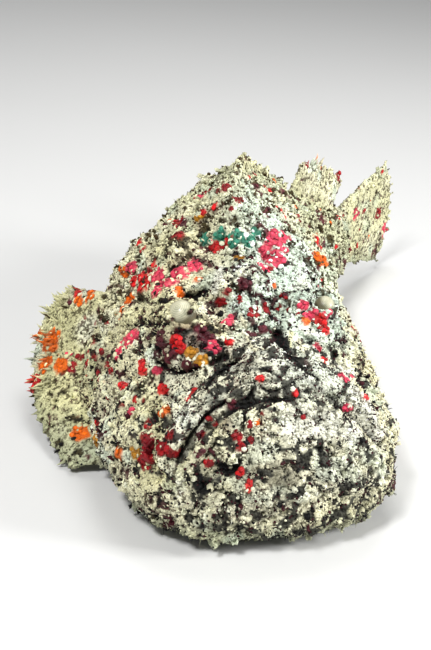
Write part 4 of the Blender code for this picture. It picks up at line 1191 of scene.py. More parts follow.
@dataclass
class Skin:
    """The fish's one skin, which stands for its flesh and fins, with values at its points."""

    fish: FishFrame
    eyes: Sequence[EyeDome]

    gap_closing: float = 0.00035
    voxel: float = 0.00128
    smooth_steps: int = 3
    face_station: float = 0.060
    face_height: float = 0.016
    face_half_width: float = 0.045
    coat_depth: float = 0.0007
    fin_coat_depth: float = 0.0003
    fin_reach: float = 0.0016
    spine_reach: tuple[float, float] = (0.0012, 0.0024)
    floor_fade: tuple[float, float] = (0.0008, 0.008)
    growth_start: tuple[float, float] = (0.0012, 0.0030)
    slit_depth: float = 0.0012
    open_slit_depth: float = 0.0014
    lip_roll: float = 0.0015
    lip_roll_at: float = 0.0032
    lip_roll_reach: float = 0.0019
    lip_rim: float = 0.0010
    lip_rim_reach: float = 0.0016
    crease_depth: float = 0.0016
    crease_width: float = 0.035
    lid_at: float = 0.0007
    lid_rise: float = 0.0014
    lid_reach: float = 0.0009
    lid_skin: tuple[float, float] = (0.0022, 0.0042)
    eye_cleared: float = 0.82
    eye_open: float = 0.52
    crust_rise: float = 0.0004

    obj: bpy.types.Object = field(init=False)
    flesh: BVHTree = field(init=False)
    spines: BVHTree = field(init=False)
    triangles: np.ndarray = field(init=False)
    places: np.ndarray = field(init=False)
    normals: np.ndarray = field(init=False)
    body: np.ndarray = field(init=False)
    gaps: np.ndarray = field(init=False)
    outward: np.ndarray = field(init=False)
    fin: np.ndarray = field(init=False)
    spiny: np.ndarray = field(init=False)
    rise: np.ndarray = field(init=False)
    spot: np.ndarray = field(init=False)
    bare: np.ndarray = field(init=False)

    def build(self) -> bpy.types.Object:
        """Fuses the flesh into one closed surface.

        Returns:
            The skin.
        """
        copies = [self._swollen_copy(name) for name in (*FLESH, *FINS)]
        self.flesh = self._tree_of(copies[: len(FLESH)])
        self.spines = self._tree_of([copy for copy in copies if copy.name.startswith(SPINES)])
        select_only(*copies)
        bpy.ops.object.join()
        self.obj = bpy.context.view_layer.objects.active
        self.obj.name = self.obj.data.name = "stonefish_skin"
        self.obj.data.remesh_voxel_size = self.voxel
        self.obj.data.use_remesh_preserve_volume = False
        bpy.ops.object.voxel_remesh()
        self._smooth(self.smooth_steps)
        self._drop_scraps()
        self._refine_face()
        self._smooth(1)
        bpy.ops.object.shade_smooth()
        return self.obj

    def _swollen_copy(self, name: str) -> bpy.types.Object:
        """A merged copy of a solid, swollen enough to close its gap to the next.

        Args:
            name: The solid's node.

        Returns:
            The copy.
        """
        source = frame["nodes"][name]
        copy = bpy.data.objects.new(name + "_copy", source.data.copy())
        bpy.context.scene.collection.objects.link(copy)
        copy.data.materials.clear()
        shape = bmesh.new()
        shape.from_mesh(copy.data)
        bmesh.ops.remove_doubles(shape, verts=shape.verts, dist=1e-6)
        shape.normal_update()
        moves = [vertex.normal * self.gap_closing for vertex in shape.verts]
        for vertex, move in zip(shape.verts, moves):
            vertex.co += move
        shape.to_mesh(copy.data)
        shape.free()
        return copy

    @staticmethod
    def _tree_of(objects: Sequence[bpy.types.Object]) -> BVHTree:
        """One search tree over several meshes.

        Args:
            objects: The meshes' objects.

        Returns:
            The tree.
        """
        points: list[Vector] = []
        faces: list[tuple[int, ...]] = []
        for obj in objects:
            start = len(points)
            points += [vertex.co.copy() for vertex in obj.data.vertices]
            faces += [tuple(start + v for v in face.vertices) for face in obj.data.polygons]
        return BVHTree.FromPolygons(points, faces)

    def _smooth(self, steps: int) -> None:
        """Relaxes the surface by a number of steps."""
        smooth = self.obj.modifiers.new("smooth", "SMOOTH")
        smooth.factor, smooth.iterations = 0.5, steps
        bpy.ops.object.modifier_apply(modifier="smooth")

    def _drop_scraps(self) -> None:
        """Keeps the closed surface that has the highest point, and so no scrap of the remesh."""
        with edit_mode():
            bpy.ops.mesh.select_all(action="DESELECT")
        top = int(np.argmax(places_of(self.obj.data)[:, 2]))
        self.obj.data.vertices[top].select = True
        with edit_mode():
            bpy.ops.mesh.select_linked()
            bpy.ops.mesh.select_all(action="INVERT")
            bpy.ops.mesh.delete(type="VERT")

    def _refine_face(self) -> None:
        """Subdivides the face, which has the finest folds."""
        mesh = self.obj.data
        body = self.fish.to_body(places_of(mesh))
        fine = (body[:, 1] < self.face_station) & (body[:, 2] > self.face_height)
        fine &= np.abs(body[:, 0]) < self.face_half_width
        with edit_mode():
            bpy.ops.mesh.select_mode(type="FACE")
            bpy.ops.mesh.select_all(action="DESELECT")
        chosen = [bool(fine[list(face.vertices)].all()) for face in mesh.polygons]
        mesh.polygons.foreach_set("select", chosen)
        with edit_mode():
            bpy.ops.mesh.subdivide(number_cuts=1, smoothness=0.0)

    def shape(self, folds: list[Mark], seen_from: np.ndarray) -> None:
        """Draws the skin in by the coat's depth and adds its folds, lumps and pits.

        Args:
            folds: The photo's creases and ridges.
            seen_from: Where the photo was taken, as the folds sink along its lines of sight.
        """
        places = places_of(self.obj.data)
        nearest = [self.flesh.find_nearest(Vector(p)) for p in places]
        self.gaps = np.array([hit[3] for hit in nearest])
        self.outward = unit(places - np.array([hit[0] for hit in nearest]))
        self.fin = ramp(self.gaps, self.fin_reach * 0.4, self.fin_reach)
        from_spines = np.array([self.spines.find_nearest(Vector(p))[3] for p in places])
        self.spiny = self.fin * (1.0 - ramp(from_spines, *self.spine_reach))
        self.body = self.fish.to_body(places)
        normals = normals_of(self.obj.data)
        lumps = self._relief(places) * (1.0 - 0.75 * self.fin)
        drawn = np.zeros(len(places))
        for fold in folds:
            share = bell(fold.distance(places), 1.0)
            lumps = lumps * (1.0 - 0.7 * share)
            drawn = drawn * (1.0 - share) + fold.rise * share
        self.rise = lumps + drawn
        depth = self.coat_depth + (self.fin_coat_depth - self.coat_depth) * self.fin
        rise = (lumps - depth - self.gap_closing) * ramp(places[:, 2], *self.floor_fade)
        sight = unit(seen_from - places)
        places = places + normals * rise[:, None] + sight * drawn[:, None]
        for eye in self.eyes:
            centre, radius, look = np.array(eye.centre), eye.radius, np.array(eye.look)
            offset = places - centre
            gap = np.linalg.norm(offset, axis=-1, keepdims=True)
            ahead = np.maximum(offset @ look, 0.0)[:, None] * look
            reach = np.linalg.norm(offset - self.eye_open * ahead, axis=-1, keepdims=True)
            inside = offset * np.minimum(1.0, radius / np.maximum(gap, 1e-9)) * self.eye_cleared
            places = np.where(reach < radius, centre + inside, places)
        self._settle(places)

    def _settle(self, places: np.ndarray) -> None:
        """Moves the skin's points and reads its normals and triangles again.

        Args:
            places: The points' new places, which are kept above the floor.
        """
        mesh = self.obj.data
        places[:, 2] = np.maximum(places[:, 2], FLOOR_ROOM)
        move_points(mesh, places)
        self.places = places
        self.normals = normals_of(mesh)
        mesh.calc_loop_triangles()
        corners = np.empty(len(mesh.loop_triangles) * 3, np.int32)
        mesh.loop_triangles.foreach_get("vertices", corners)
        self.triangles = corners.reshape(-1, 3)

    def raise_crusts(self) -> None:
        """Lifts the skin a little where a crust covers it."""
        lift = self.spot * self.crust_rise * (1.0 - 0.7 * self.fin)
        self._settle(self.places + self.normals * lift[:, None])

    def _relief(self, places: np.ndarray) -> np.ndarray:
        """Forms that are finer than the solids' own.

        Args:
            places: The skin's points.

        Returns:
            How far each point stands out.
        """
        side = self.body[:, 0]
        total = np.zeros(len(places))
        for size, height, seed, inner, outer in LUMPS:
            distance, draw = nearest_cell(places, size, seed)
            total = total + height * (1.0 - ramp(distance, inner, outer)) * (0.35 + 0.65 * draw)
        distance = mouth_distance(self.body)
        calm = ramp(-np.abs(distance), -0.010, -0.003)
        total = total * (1.0 - 0.60 * calm) * (1.0 - 0.50 * Painter.lip_share(self.body))
        opened = ramp(side, *MOUTH_OPENS) * ramp(-side, -0.008, 0.004)
        slit = self.slit_depth + self.open_slit_depth * opened
        total = total - slit * bell(distance, SLIT_REACH)
        for roll in (self.lip_roll_at, -self.lip_roll_at):
            total = total + self.lip_roll * bell(distance - roll, self.lip_roll_reach)
        rim = distance - 0.90 * lip_depth(side)
        total = total + self.lip_rim * bell(rim, self.lip_rim_reach)
        crease = np.abs(Swell.CREASES.over(places) - 0.5)
        total = total - self.crease_depth * bell(crease, self.crease_width)
        for *place, reach, lift in POCKETS:
            offset = np.linalg.norm(self.body - np.array(place), axis=-1)
            total = total + lift * bell(offset, reach)
        for eye in self.eyes:
            gap = eye.gap(places)
            near = 1.0 - ramp(gap, *self.lid_skin)
            lid = self.lid_rise * bell(gap - self.lid_at, self.lid_reach) * near
            total = total * (1.0 - 0.8 * near) + lid
        return total

    def scatter(self, density: np.ndarray, seed: int) -> Roots:
        """Draws places on the skin.

        Args:
            density: Growths per square metre at each of the skin's points.
            seed: Which draw.

        Returns:
            The places and the skin's values there.
        """
        draw = np.random.default_rng(seed)
        first, second, third = (self.places[self.triangles[:, corner]] for corner in range(3))
        area = np.linalg.norm(np.cross(second - first, third - first), axis=-1) / 2
        standing = np.clip(density, 0.0, None) * ramp(self.places[:, 2], *self.growth_start)
        total = np.cumsum(area * standing[self.triangles].mean(axis=1))
        count = int(round(total[-1]))
        picked = self.triangles[np.searchsorted(total, draw.random(count) * total[-1])]
        share = draw.dirichlet((1.0, 1.0, 1.0), count)

        def spread(values: np.ndarray) -> np.ndarray:
            """Values at the drawn places."""
            corners = values[picked]
            weights = share if corners.ndim == 2 else share[..., None]
            return (corners * weights).sum(axis=1)

        return Roots(
            spread(self.places),
            unit(spread(self.normals)),
            spread(self.body),
            spread(self.fin),
            spread(self.outward),
        )


# Growths of the skin


class GrowthKind(Enum):
    """The small things that grow on the skin."""

    CHIP = "chip"
    WART = "wart"
    FILAMENT = "filament"
    FLAP = "flap"
    CRUST = "crust"
    SPIKE = "spike"
    LEAF = "leaf"


@dataclass(frozen=True)
class Shape:
    """One small closed mesh, with its root at the origin and its tip along +Z."""

    points: np.ndarray
    triangles: np.ndarray


Triple = tuple[float, float, float]
Step = tuple[Triple, Triple]


class ShapeMaker:
    """Models the growths' shapes once each."""

    UNEVEN = 0.07

    def take(self) -> Shape:
        """Reads the active object as a shape and removes it.

        Returns:
            The shape.
        """
        obj = bpy.context.view_layer.objects.active
        triangles = obj.modifiers.new("triangles", "TRIANGULATE")
        bpy.ops.object.modifier_apply(modifier=triangles.name)
        corners = np.empty(len(obj.data.polygons) * 3, np.int32)
        obj.data.polygons.foreach_get("vertices", corners)
        shape = Shape(places_of(obj.data), corners.reshape(-1, 3))
        bpy.data.objects.remove(obj)
        return shape

    def chip(self, sides: int, top: float, seed: int) -> Shape:
        """An uneven crumb of skin, wide at its root.

        Args:
            sides: Its sides.
            top: Radius of its flat top.
            seed: How uneven it is.

        Returns:
            The shape.
        """
        bpy.ops.mesh.primitive_cone_add(vertices=sides, radius1=0.5, radius2=top, depth=0.85)
        with edit_mode():
            bpy.ops.transform.translate(value=(0.0, 0.0, 0.28))
            bpy.ops.transform.vertex_random(offset=0.13, seed=seed)
        return self.take()

    def wart(self, lean: float, squat: float) -> Shape:
        """A rounded wart.

        Args:
            lean: How far it leans.
            squat: Its height as a share of its width.

        Returns:
            The shape.
        """
        bpy.ops.mesh.primitive_ico_sphere_add(subdivisions=1, radius=0.5)
        with edit_mode():
            bpy.ops.transform.resize(value=(1.0, 0.85, squat))
            bpy.ops.transform.translate(value=(lean, 0.0, 0.12))
            bpy.ops.transform.vertex_random(offset=self.UNEVEN, seed=int(100 * squat))
        return self.take()

    def _extruded(
        self, sides: int, radius: float, steps: Sequence[Step], seed: int | None = None
    ) -> Shape:
        """A polygon that is extruded in steps.

        Args:
            sides: Its sides.
            radius: Its radius.
            steps: The move of each extrusion, and the share of its size that is left there.
            seed: How uneven it is, if at all.

        Returns:
            The shape.
        """
        bpy.ops.mesh.primitive_circle_add(vertices=sides, radius=radius, fill_type="NGON")
        with edit_mode():
            bpy.ops.mesh.select_all(action="SELECT")
            for move, share in steps:
                bpy.ops.mesh.extrude_region_move(TRANSFORM_OT_translate={"value": move})
                bpy.ops.transform.resize(value=share)
            bpy.ops.mesh.select_all(action="SELECT")
            if seed is not None:
                bpy.ops.transform.vertex_random(offset=self.UNEVEN, seed=seed)
            bpy.ops.mesh.normals_make_consistent(inside=False)
        return self.take()

    def filament(self, width: float, moves: Sequence[Triple]) -> Shape:
        """A tapered filament, with the radius of its root and the bends along it."""
        return self._extruded(3, width, [(move, (0.66, 0.66, 0.66)) for move in moves])

    def crust(self, sides: int, seed: int) -> Shape:
        """A low, smooth crust with an uneven outline."""
        steps = ((0.22, 0.92), (0.16, 0.66), (0.06, 0.45))
        risen = [((0.0, 0.0, rise), (share, share, 1.0)) for rise, share in steps]
        return self._extruded(sides, 0.5, risen, seed)

    def spike(self, bend: float) -> Shape:
        """The pointed tip of a fin ray, which bends to one side."""
        steps = (((0.0, 0.0, 0.45), 0.78), ((bend, 0.0, 0.40), 0.45), ((bend, 0.0, 0.25), 0.2))
        return self._extruded(5, 0.21, [(move, (share, share, share)) for move, share in steps])

    def flap(self, curl: float, lobes: int, columns: int, rows: int) -> Shape:
        """A thin ragged flap that stands on its narrow root.

        Args:
            curl: How far its edge bends over.
            lobes: Lobes of its edge.
            columns: Faces across it.
            rows: Faces along it.

        Returns:
            The shape.
        """
        bpy.ops.mesh.primitive_grid_add(x_subdivisions=columns, y_subdivisions=rows, size=1.0)
        obj = bpy.context.view_layer.objects.active
        points = places_of(obj.data)
        rise = points[:, 1] + 0.5
        notch = 1.0 - 0.30 * np.abs(np.sin(points[:, 0] * math.pi * lobes)) * rise
        width = 0.35 + 0.65 * np.sin(math.pi * np.clip(0.15 + 0.7 * rise, 0.0, 1.0))
        x = points[:, 0] * width
        y = curl * rise**2 + 0.18 * np.cos(points[:, 0] * 5.0)
        move_points(obj.data, np.stack([x, y, rise * notch], axis=-1))
        wall = obj.modifiers.new("wall", "SOLIDIFY")
        wall.thickness, wall.offset = 0.10, 0.0
        bpy.ops.object.modifier_apply(modifier=wall.name)
        return self.take()

    def all_shapes(self) -> dict[GrowthKind, list[Shape]]:
        """Every kind of growth in a few variants.

        Returns:
            The shapes by kind.
        """
        bends = (
            ((0.05, 0.0, 0.35), (0.10, 0.04, 0.35), (0.18, 0.0, 0.28)),
            ((-0.04, 0.05, 0.40), (-0.12, 0.0, 0.30), (0.05, -0.10, 0.25)),
        )
        variants = {
            GrowthKind.CHIP: (self.chip, ((4, 0.14, 1), (4, 0.26, 2), (5, 0.20, 3), (3, 0.24, 4))),
            GrowthKind.WART: (self.wart, ((0.0, 1.0), (0.12, 1.25), (-0.1, 0.8))),
            GrowthKind.FILAMENT: (self.filament, tuple(itertools.product((0.09, 0.14), bends))),
            GrowthKind.FLAP: (self.flap, ((0.25, 2, 3, 2), (-0.35, 3, 4, 2))),
            GrowthKind.CRUST: (self.crust, ((7, 1), (6, 2), (8, 3))),
            GrowthKind.SPIKE: (self.spike, ((0.10,), (-0.14,))),
            GrowthKind.LEAF: (self.flap, ((0.30, 3, 12, 8), (-0.25, 4, 12, 8))),
        }
        return {kind: [make(*row) for row in rows] for kind, (make, rows) in variants.items()}


@dataclass(frozen=True)
class GrowthPlan:
    """One sort of growth over one part of the fish: density in growths per square metre, size in
    metres, height and sunk root as shares of size, tilt from the skin's normal, lean outward on a
    fin, the share of dark ones, and how flecked they are."""

    name: str
    kind: GrowthKind
    slot: str
    density: Callable[[Skin], np.ndarray]
    size: tuple[float, float]
    stretch: tuple[float, float]
    tilt: float
    seed: int
    lean: float = 0.0
    sunk: float = 0.12
    dark: float = 0.18
    flecks: float = 0.35


class Coat:
    """The growths that cover the skin, as a few joined meshes."""

    PIECE_LIMIT = 190_000
    BAKE_PATCH = 0.003
    PLAIN = FleshFinish(
        "skin_growths", roughness=0.55, fleck=0.0009, fleck_share=0.8, relief=0.00025
    )
    CRUSTED = FleshFinish(
        "skin_crusts", roughness=0.42, fleck=0.0012, fleck_share=0.6, relief=0.0003, shine=0.25
    )

    def __init__(self, skin: Skin, painter: Painter) -> None:
        """Models the growths' shapes.

        Args:
            skin: What they grow on.
            painter: Their colours.
        """
        self.skin, self.painter = skin, painter
        self.plain, self.crusted = self.PLAIN.material(), self.CRUSTED.material()
        self.shapes = ShapeMaker().all_shapes()

    def grow(self, plan: GrowthPlan) -> list[bpy.types.Object]:
        """Covers part of the skin with one sort of growth.

        Args:
            plan: What grows, where and how large.

        Returns:
            The pieces, each under the limit of triangles.
        """
        roots = self.skin.scatter(plan.density(self.skin), plan.seed)
        draw = np.random.default_rng(plan.seed + 1000)
        most = max(len(shape.triangles) for shape in self.shapes[plan.kind])
        per_piece = self.PIECE_LIMIT // most
        pieces = max(1, math.ceil(len(roots.places) / per_piece))
        order = np.argsort(roots.body[:, 1], kind="stable")
        made = []
        for number, share in enumerate(np.array_split(order, pieces)):
            name = plan.name if pieces == 1 else f"{plan.name}_{number + 1}"
            made.append(self._piece(name, plan, roots.part(share), draw))
        return made

    @staticmethod
    def _turns(roots: Roots, plan: GrowthPlan, draw: np.random.Generator) -> np.ndarray:
        """A rotation for each growth: up along the skin's normal, leaning outward on a fin.

        Args:
            roots: Where they grow.
            plan: Their tilt and lean.
            draw: The draws.

        Returns:
            One 3 x 3 rotation for each.
        """
        up = roots.normals + roots.outward * (roots.fin * plan.lean)[:, None]
        up = unit(up + draw.normal(0.0, plan.tilt, up.shape))
        across = unit(np.cross(up, draw.normal(0.0, 1.0, up.shape)))
        return np.stack([across, np.cross(up, across), up], axis=-1)

    def _piece(
        self, name: str, plan: GrowthPlan, roots: Roots, draw: np.random.Generator
    ) -> bpy.types.Object:
        """Joins growths at some roots into one mesh.

        Args:
            name: The piece's name.
            plan: What grows.
            roots: Where.
            draw: The draws.

        Returns:
            The piece.
        """
        shapes = self.shapes[plan.kind]
        count = len(roots.places)
        sizes = draw.uniform(*plan.size, count)
        tall = draw.uniform(*plan.stretch, count)
        turns = self._turns(roots, plan, draw)
        colours = self.painter.growth(roots, draw.random(count), plan)
        which = draw.integers(0, len(shapes), count)
        spread = self._unwrap(roots)
        parts: list[tuple[np.ndarray, ...]] = []
        start = 0
        for number, shape in enumerate(shapes):
            mine = np.nonzero(which == number)[0]
            local = shape.points[None] * np.stack([sizes, sizes, sizes * tall], -1)[mine][:, None]
            local[..., 2] -= (sizes * plan.sunk)[mine][:, None]
            points = np.einsum("nij,nkj->nki", turns[mine], local) + roots.places[mine][:, None]
            points[..., 2] = np.maximum(points[..., 2], FLOOR_ROOM)
            steps = start + len(shape.points) * np.arange(len(mine))
            corners = shape.triangles[None] + steps[:, None, None]
            start += len(mine) * len(shape.points)
            flat = shape.points[:, :2] / max(float(np.ptp(shape.points[:, :2])), 1e-9)
            patch = spread[mine][:, None] + flat[None] * self.BAKE_PATCH
            # Painted shade: each growth darker at its root among its neighbours, lighter at its tip
            tip = np.clip(shape.points[:, 2] / float(shape.points[:, 2].max()), 0.0, 1.0)
            shade = (0.55 + 0.45 * tip)[None, :, None]
            parts.append((
                points.reshape(-1, 3),
                corners.reshape(-1, 3),
                (colours[mine][:, None] * shade).reshape(-1, 3),
                patch.reshape(-1, 2),
            ))
        mesh = self._mesh(name, *(np.concatenate(columns) for columns in zip(*parts)), plan.flecks)
        if plan.kind is not GrowthKind.CHIP:
            mesh.shade_smooth()
        crusty = plan.kind in (GrowthKind.CRUST, GrowthKind.LEAF)
        mesh.materials.append(self.crusted if crusty else self.plain)
        obj = bpy.data.objects.new(name, mesh)
        bpy.context.scene.collection.objects.link(obj)
        return obj

    @staticmethod
    def _unwrap(roots: Roots) -> np.ndarray:
        """The skin rolled out flat: along the midline and round it, with the fins' two faces in
        bands of their own.

        Args:
            roots: Where growths stand.

        Returns:
            Two values from 0 to 1 for each.
        """
        body = roots.body
        along = np.clip(body[:, 1] / TOTAL_LENGTH, 0.0, 1.0)
        round_it = np.arctan2(body[:, 0], body[:, 2] - 0.025) / (2 * math.pi) + 0.5
        outer = (roots.normals[:, 0] * body[:, 0] + roots.normals[:, 2] * 0.02) > 0
        band = np.where(roots.fin > 0.5, np.where(outer, 0.55, 0.77), 0.0)
        tall = np.where(roots.fin > 0.5, 0.20, 0.52)
        return np.stack([0.01 + 0.98 * along, 0.01 + band + tall * round_it], axis=-1)

    @staticmethod
    def _mesh(
        name: str,
        points: np.ndarray,
        triangles: np.ndarray,
        colours: np.ndarray,
        spreads: np.ndarray,
        flecks: float,
    ) -> bpy.types.Mesh:
        """Makes a mesh from its arrays.

        Args:
            name: Its name.
            points: Its points.
            triangles: Three points to each.
            colours: Linear colours of the points.
            spreads: The points' places in the map for baking.
            flecks: How flecked it is.

        Returns:
            The mesh.
        """
        mesh = bpy.data.meshes.new(name)
        mesh.vertices.add(len(points))
        mesh.loops.add(len(triangles) * 3)
        mesh.polygons.add(len(triangles))
        mesh.vertices.foreach_set("co", points.astype(np.float32).ravel())
        mesh.loops.foreach_set("vertex_index", triangles.astype(np.int32).ravel())
        mesh.polygons.foreach_set("loop_start", np.arange(0, len(triangles) * 3, 3, dtype=np.int32))
        mesh.update(calc_edges=True)
        layer = mesh.uv_layers.new(name="OFBake")
        layer.data.foreach_set("uv", spreads[triangles.ravel()].astype(np.float32).ravel())
        paint_points(mesh, colours, np.full(len(points), flecks))
        return mesh


@dataclass
class Studio:
    """The floor and the soft lights."""

    floor_size: float = 6.0
    key_power: float = 8.2
    side_power: float = 9.0
    top_power: float = 3.8
    surround: float = 0.24

    def build(self, fish: FishFrame, camera: PhotoCamera) -> None:
        """Sets the floor, the lights and the pale surroundings.

        Args:
            fish: The fish's frame.
            camera: The photo's view, whose aim the lights share.
        """
        bpy.ops.object.select_all(action="DESELECT")
        bpy.ops.mesh.primitive_plane_add(size=self.floor_size)
        floor = bpy.context.view_layer.objects.active
        floor.name = floor.data.name = "studio_floor"
        floor.data.materials.append(FloorFinish().material())
        aim = camera.aim(fish)
        self._light("key", aim, Vector((-0.40, -0.34, 0.74)), 0.20, self.key_power)
        self._light("side", aim, Vector((0.72, -0.30, 0.34)), 0.25, self.side_power)
        aim = aim + Vector((0.02, 0.10, 0.0))
        self._light("top", aim, Vector((0.10, 0.30, 0.75)), 0.40, self.top_power)
        world = bpy.data.worlds.new("studio")
        world.use_nodes = True
        inputs = world.node_tree.nodes["Background"].inputs
        inputs["Color"].default_value = (0.97, 0.98, 1.0, 1.0)
        inputs["Strength"].default_value = self.surround
        bpy.context.scene.world = world
        bpy.context.scene.view_settings.view_transform = "Standard"

    @staticmethod
    def _light(name: str, aim: Vector, offset: Vector, size: float, power: float) -> None:
        """Adds one square soft light that faces the fish.

        Args:
            name: The light's name.
            aim: What it faces.
            offset: Where it stands from there.
            size: Its width.
            power: Its watts.
        """
        data = bpy.data.lights.new(name, "AREA")
        data.size, data.energy = size, power
        lamp = bpy.data.objects.new(name, data)
        lamp.location = aim + offset
        lamp.rotation_mode = "QUATERNION"
        lamp.rotation_quaternion = offset.to_track_quat("Z", "Y")
        bpy.context.scene.collection.objects.link(lamp)


class Marker:
    """Finds where marks of the photo lie on the skin."""

    PIXEL_STEP = 1.6

    def __init__(self, skin: bpy.types.Object, fish: FishFrame, camera: PhotoCamera) -> None:
        """Starts from the finished skin and the photo's view."""
        self.tree = BVHTree.FromObject(skin, bpy.context.evaluated_depsgraph_get())
        self.fish, self.camera = fish, camera

    def _hit(self, x: float, y: float) -> tuple[np.ndarray, float] | None:
        """The skin under a pixel of the photo.

        Args:
            x: Pixels from the left.
            y: Pixels from the top.

        Returns:
            The place and the width of a pixel there, or None where there is no skin.
        """
        start, direction = self.camera.ray(self.fish, x, y)
        hit, _, _, distance = self.tree.ray_cast(start, direction)
        if hit is None:
            LOG.warning("no skin under %s, %s", x, y)
            return None
        width = distance * self.camera.sensor / self.camera.lens / self.camera.photo[1]
        return np.array(hit), width

    def marks(self, table: dict[Tint, tuple[tuple[float, ...], ...]]) -> list[Mark]:
        """The spots of a table.

        Args:
            table: Rows of x, y, radius in pixels and, if less than 1, strength.

        Returns:
            Those that lie on the skin.
        """
        found = []
        for tint, rows in table.items():
            for x, y, radius, *strength in rows:
                hit = self._hit(x, y)
                if hit is not None:
                    found.append(Mark(hit[0][None], radius * hit[1], tint, *strength))
        return found

    def folds(self, table: Sequence[Fold]) -> list[Mark]:
        """Creases and ridges.

        Args:
            table: Their lines in the photo.

        Returns:
            Those that lie on the skin.
        """
        found = []
        for fold in table:
            corners = np.array(fold.line)
            hits = []
            for first, second in zip(corners[:-1], corners[1:]):
                steps = max(2, int(np.linalg.norm(second - first) / self.PIXEL_STEP))
                for share in np.linspace(0.0, 1.0, steps + 1):
                    hit = self._hit(*(first + (second - first) * share))
                    if hit is not None:
                        hits.append(hit)
            if hits:
                points = np.array([hit[0] for hit in hits])
                reach = fold.width * hits[0][1]
                found.append(Mark(points, reach, fold.tint, fold.strength, fold.rise))
        return found


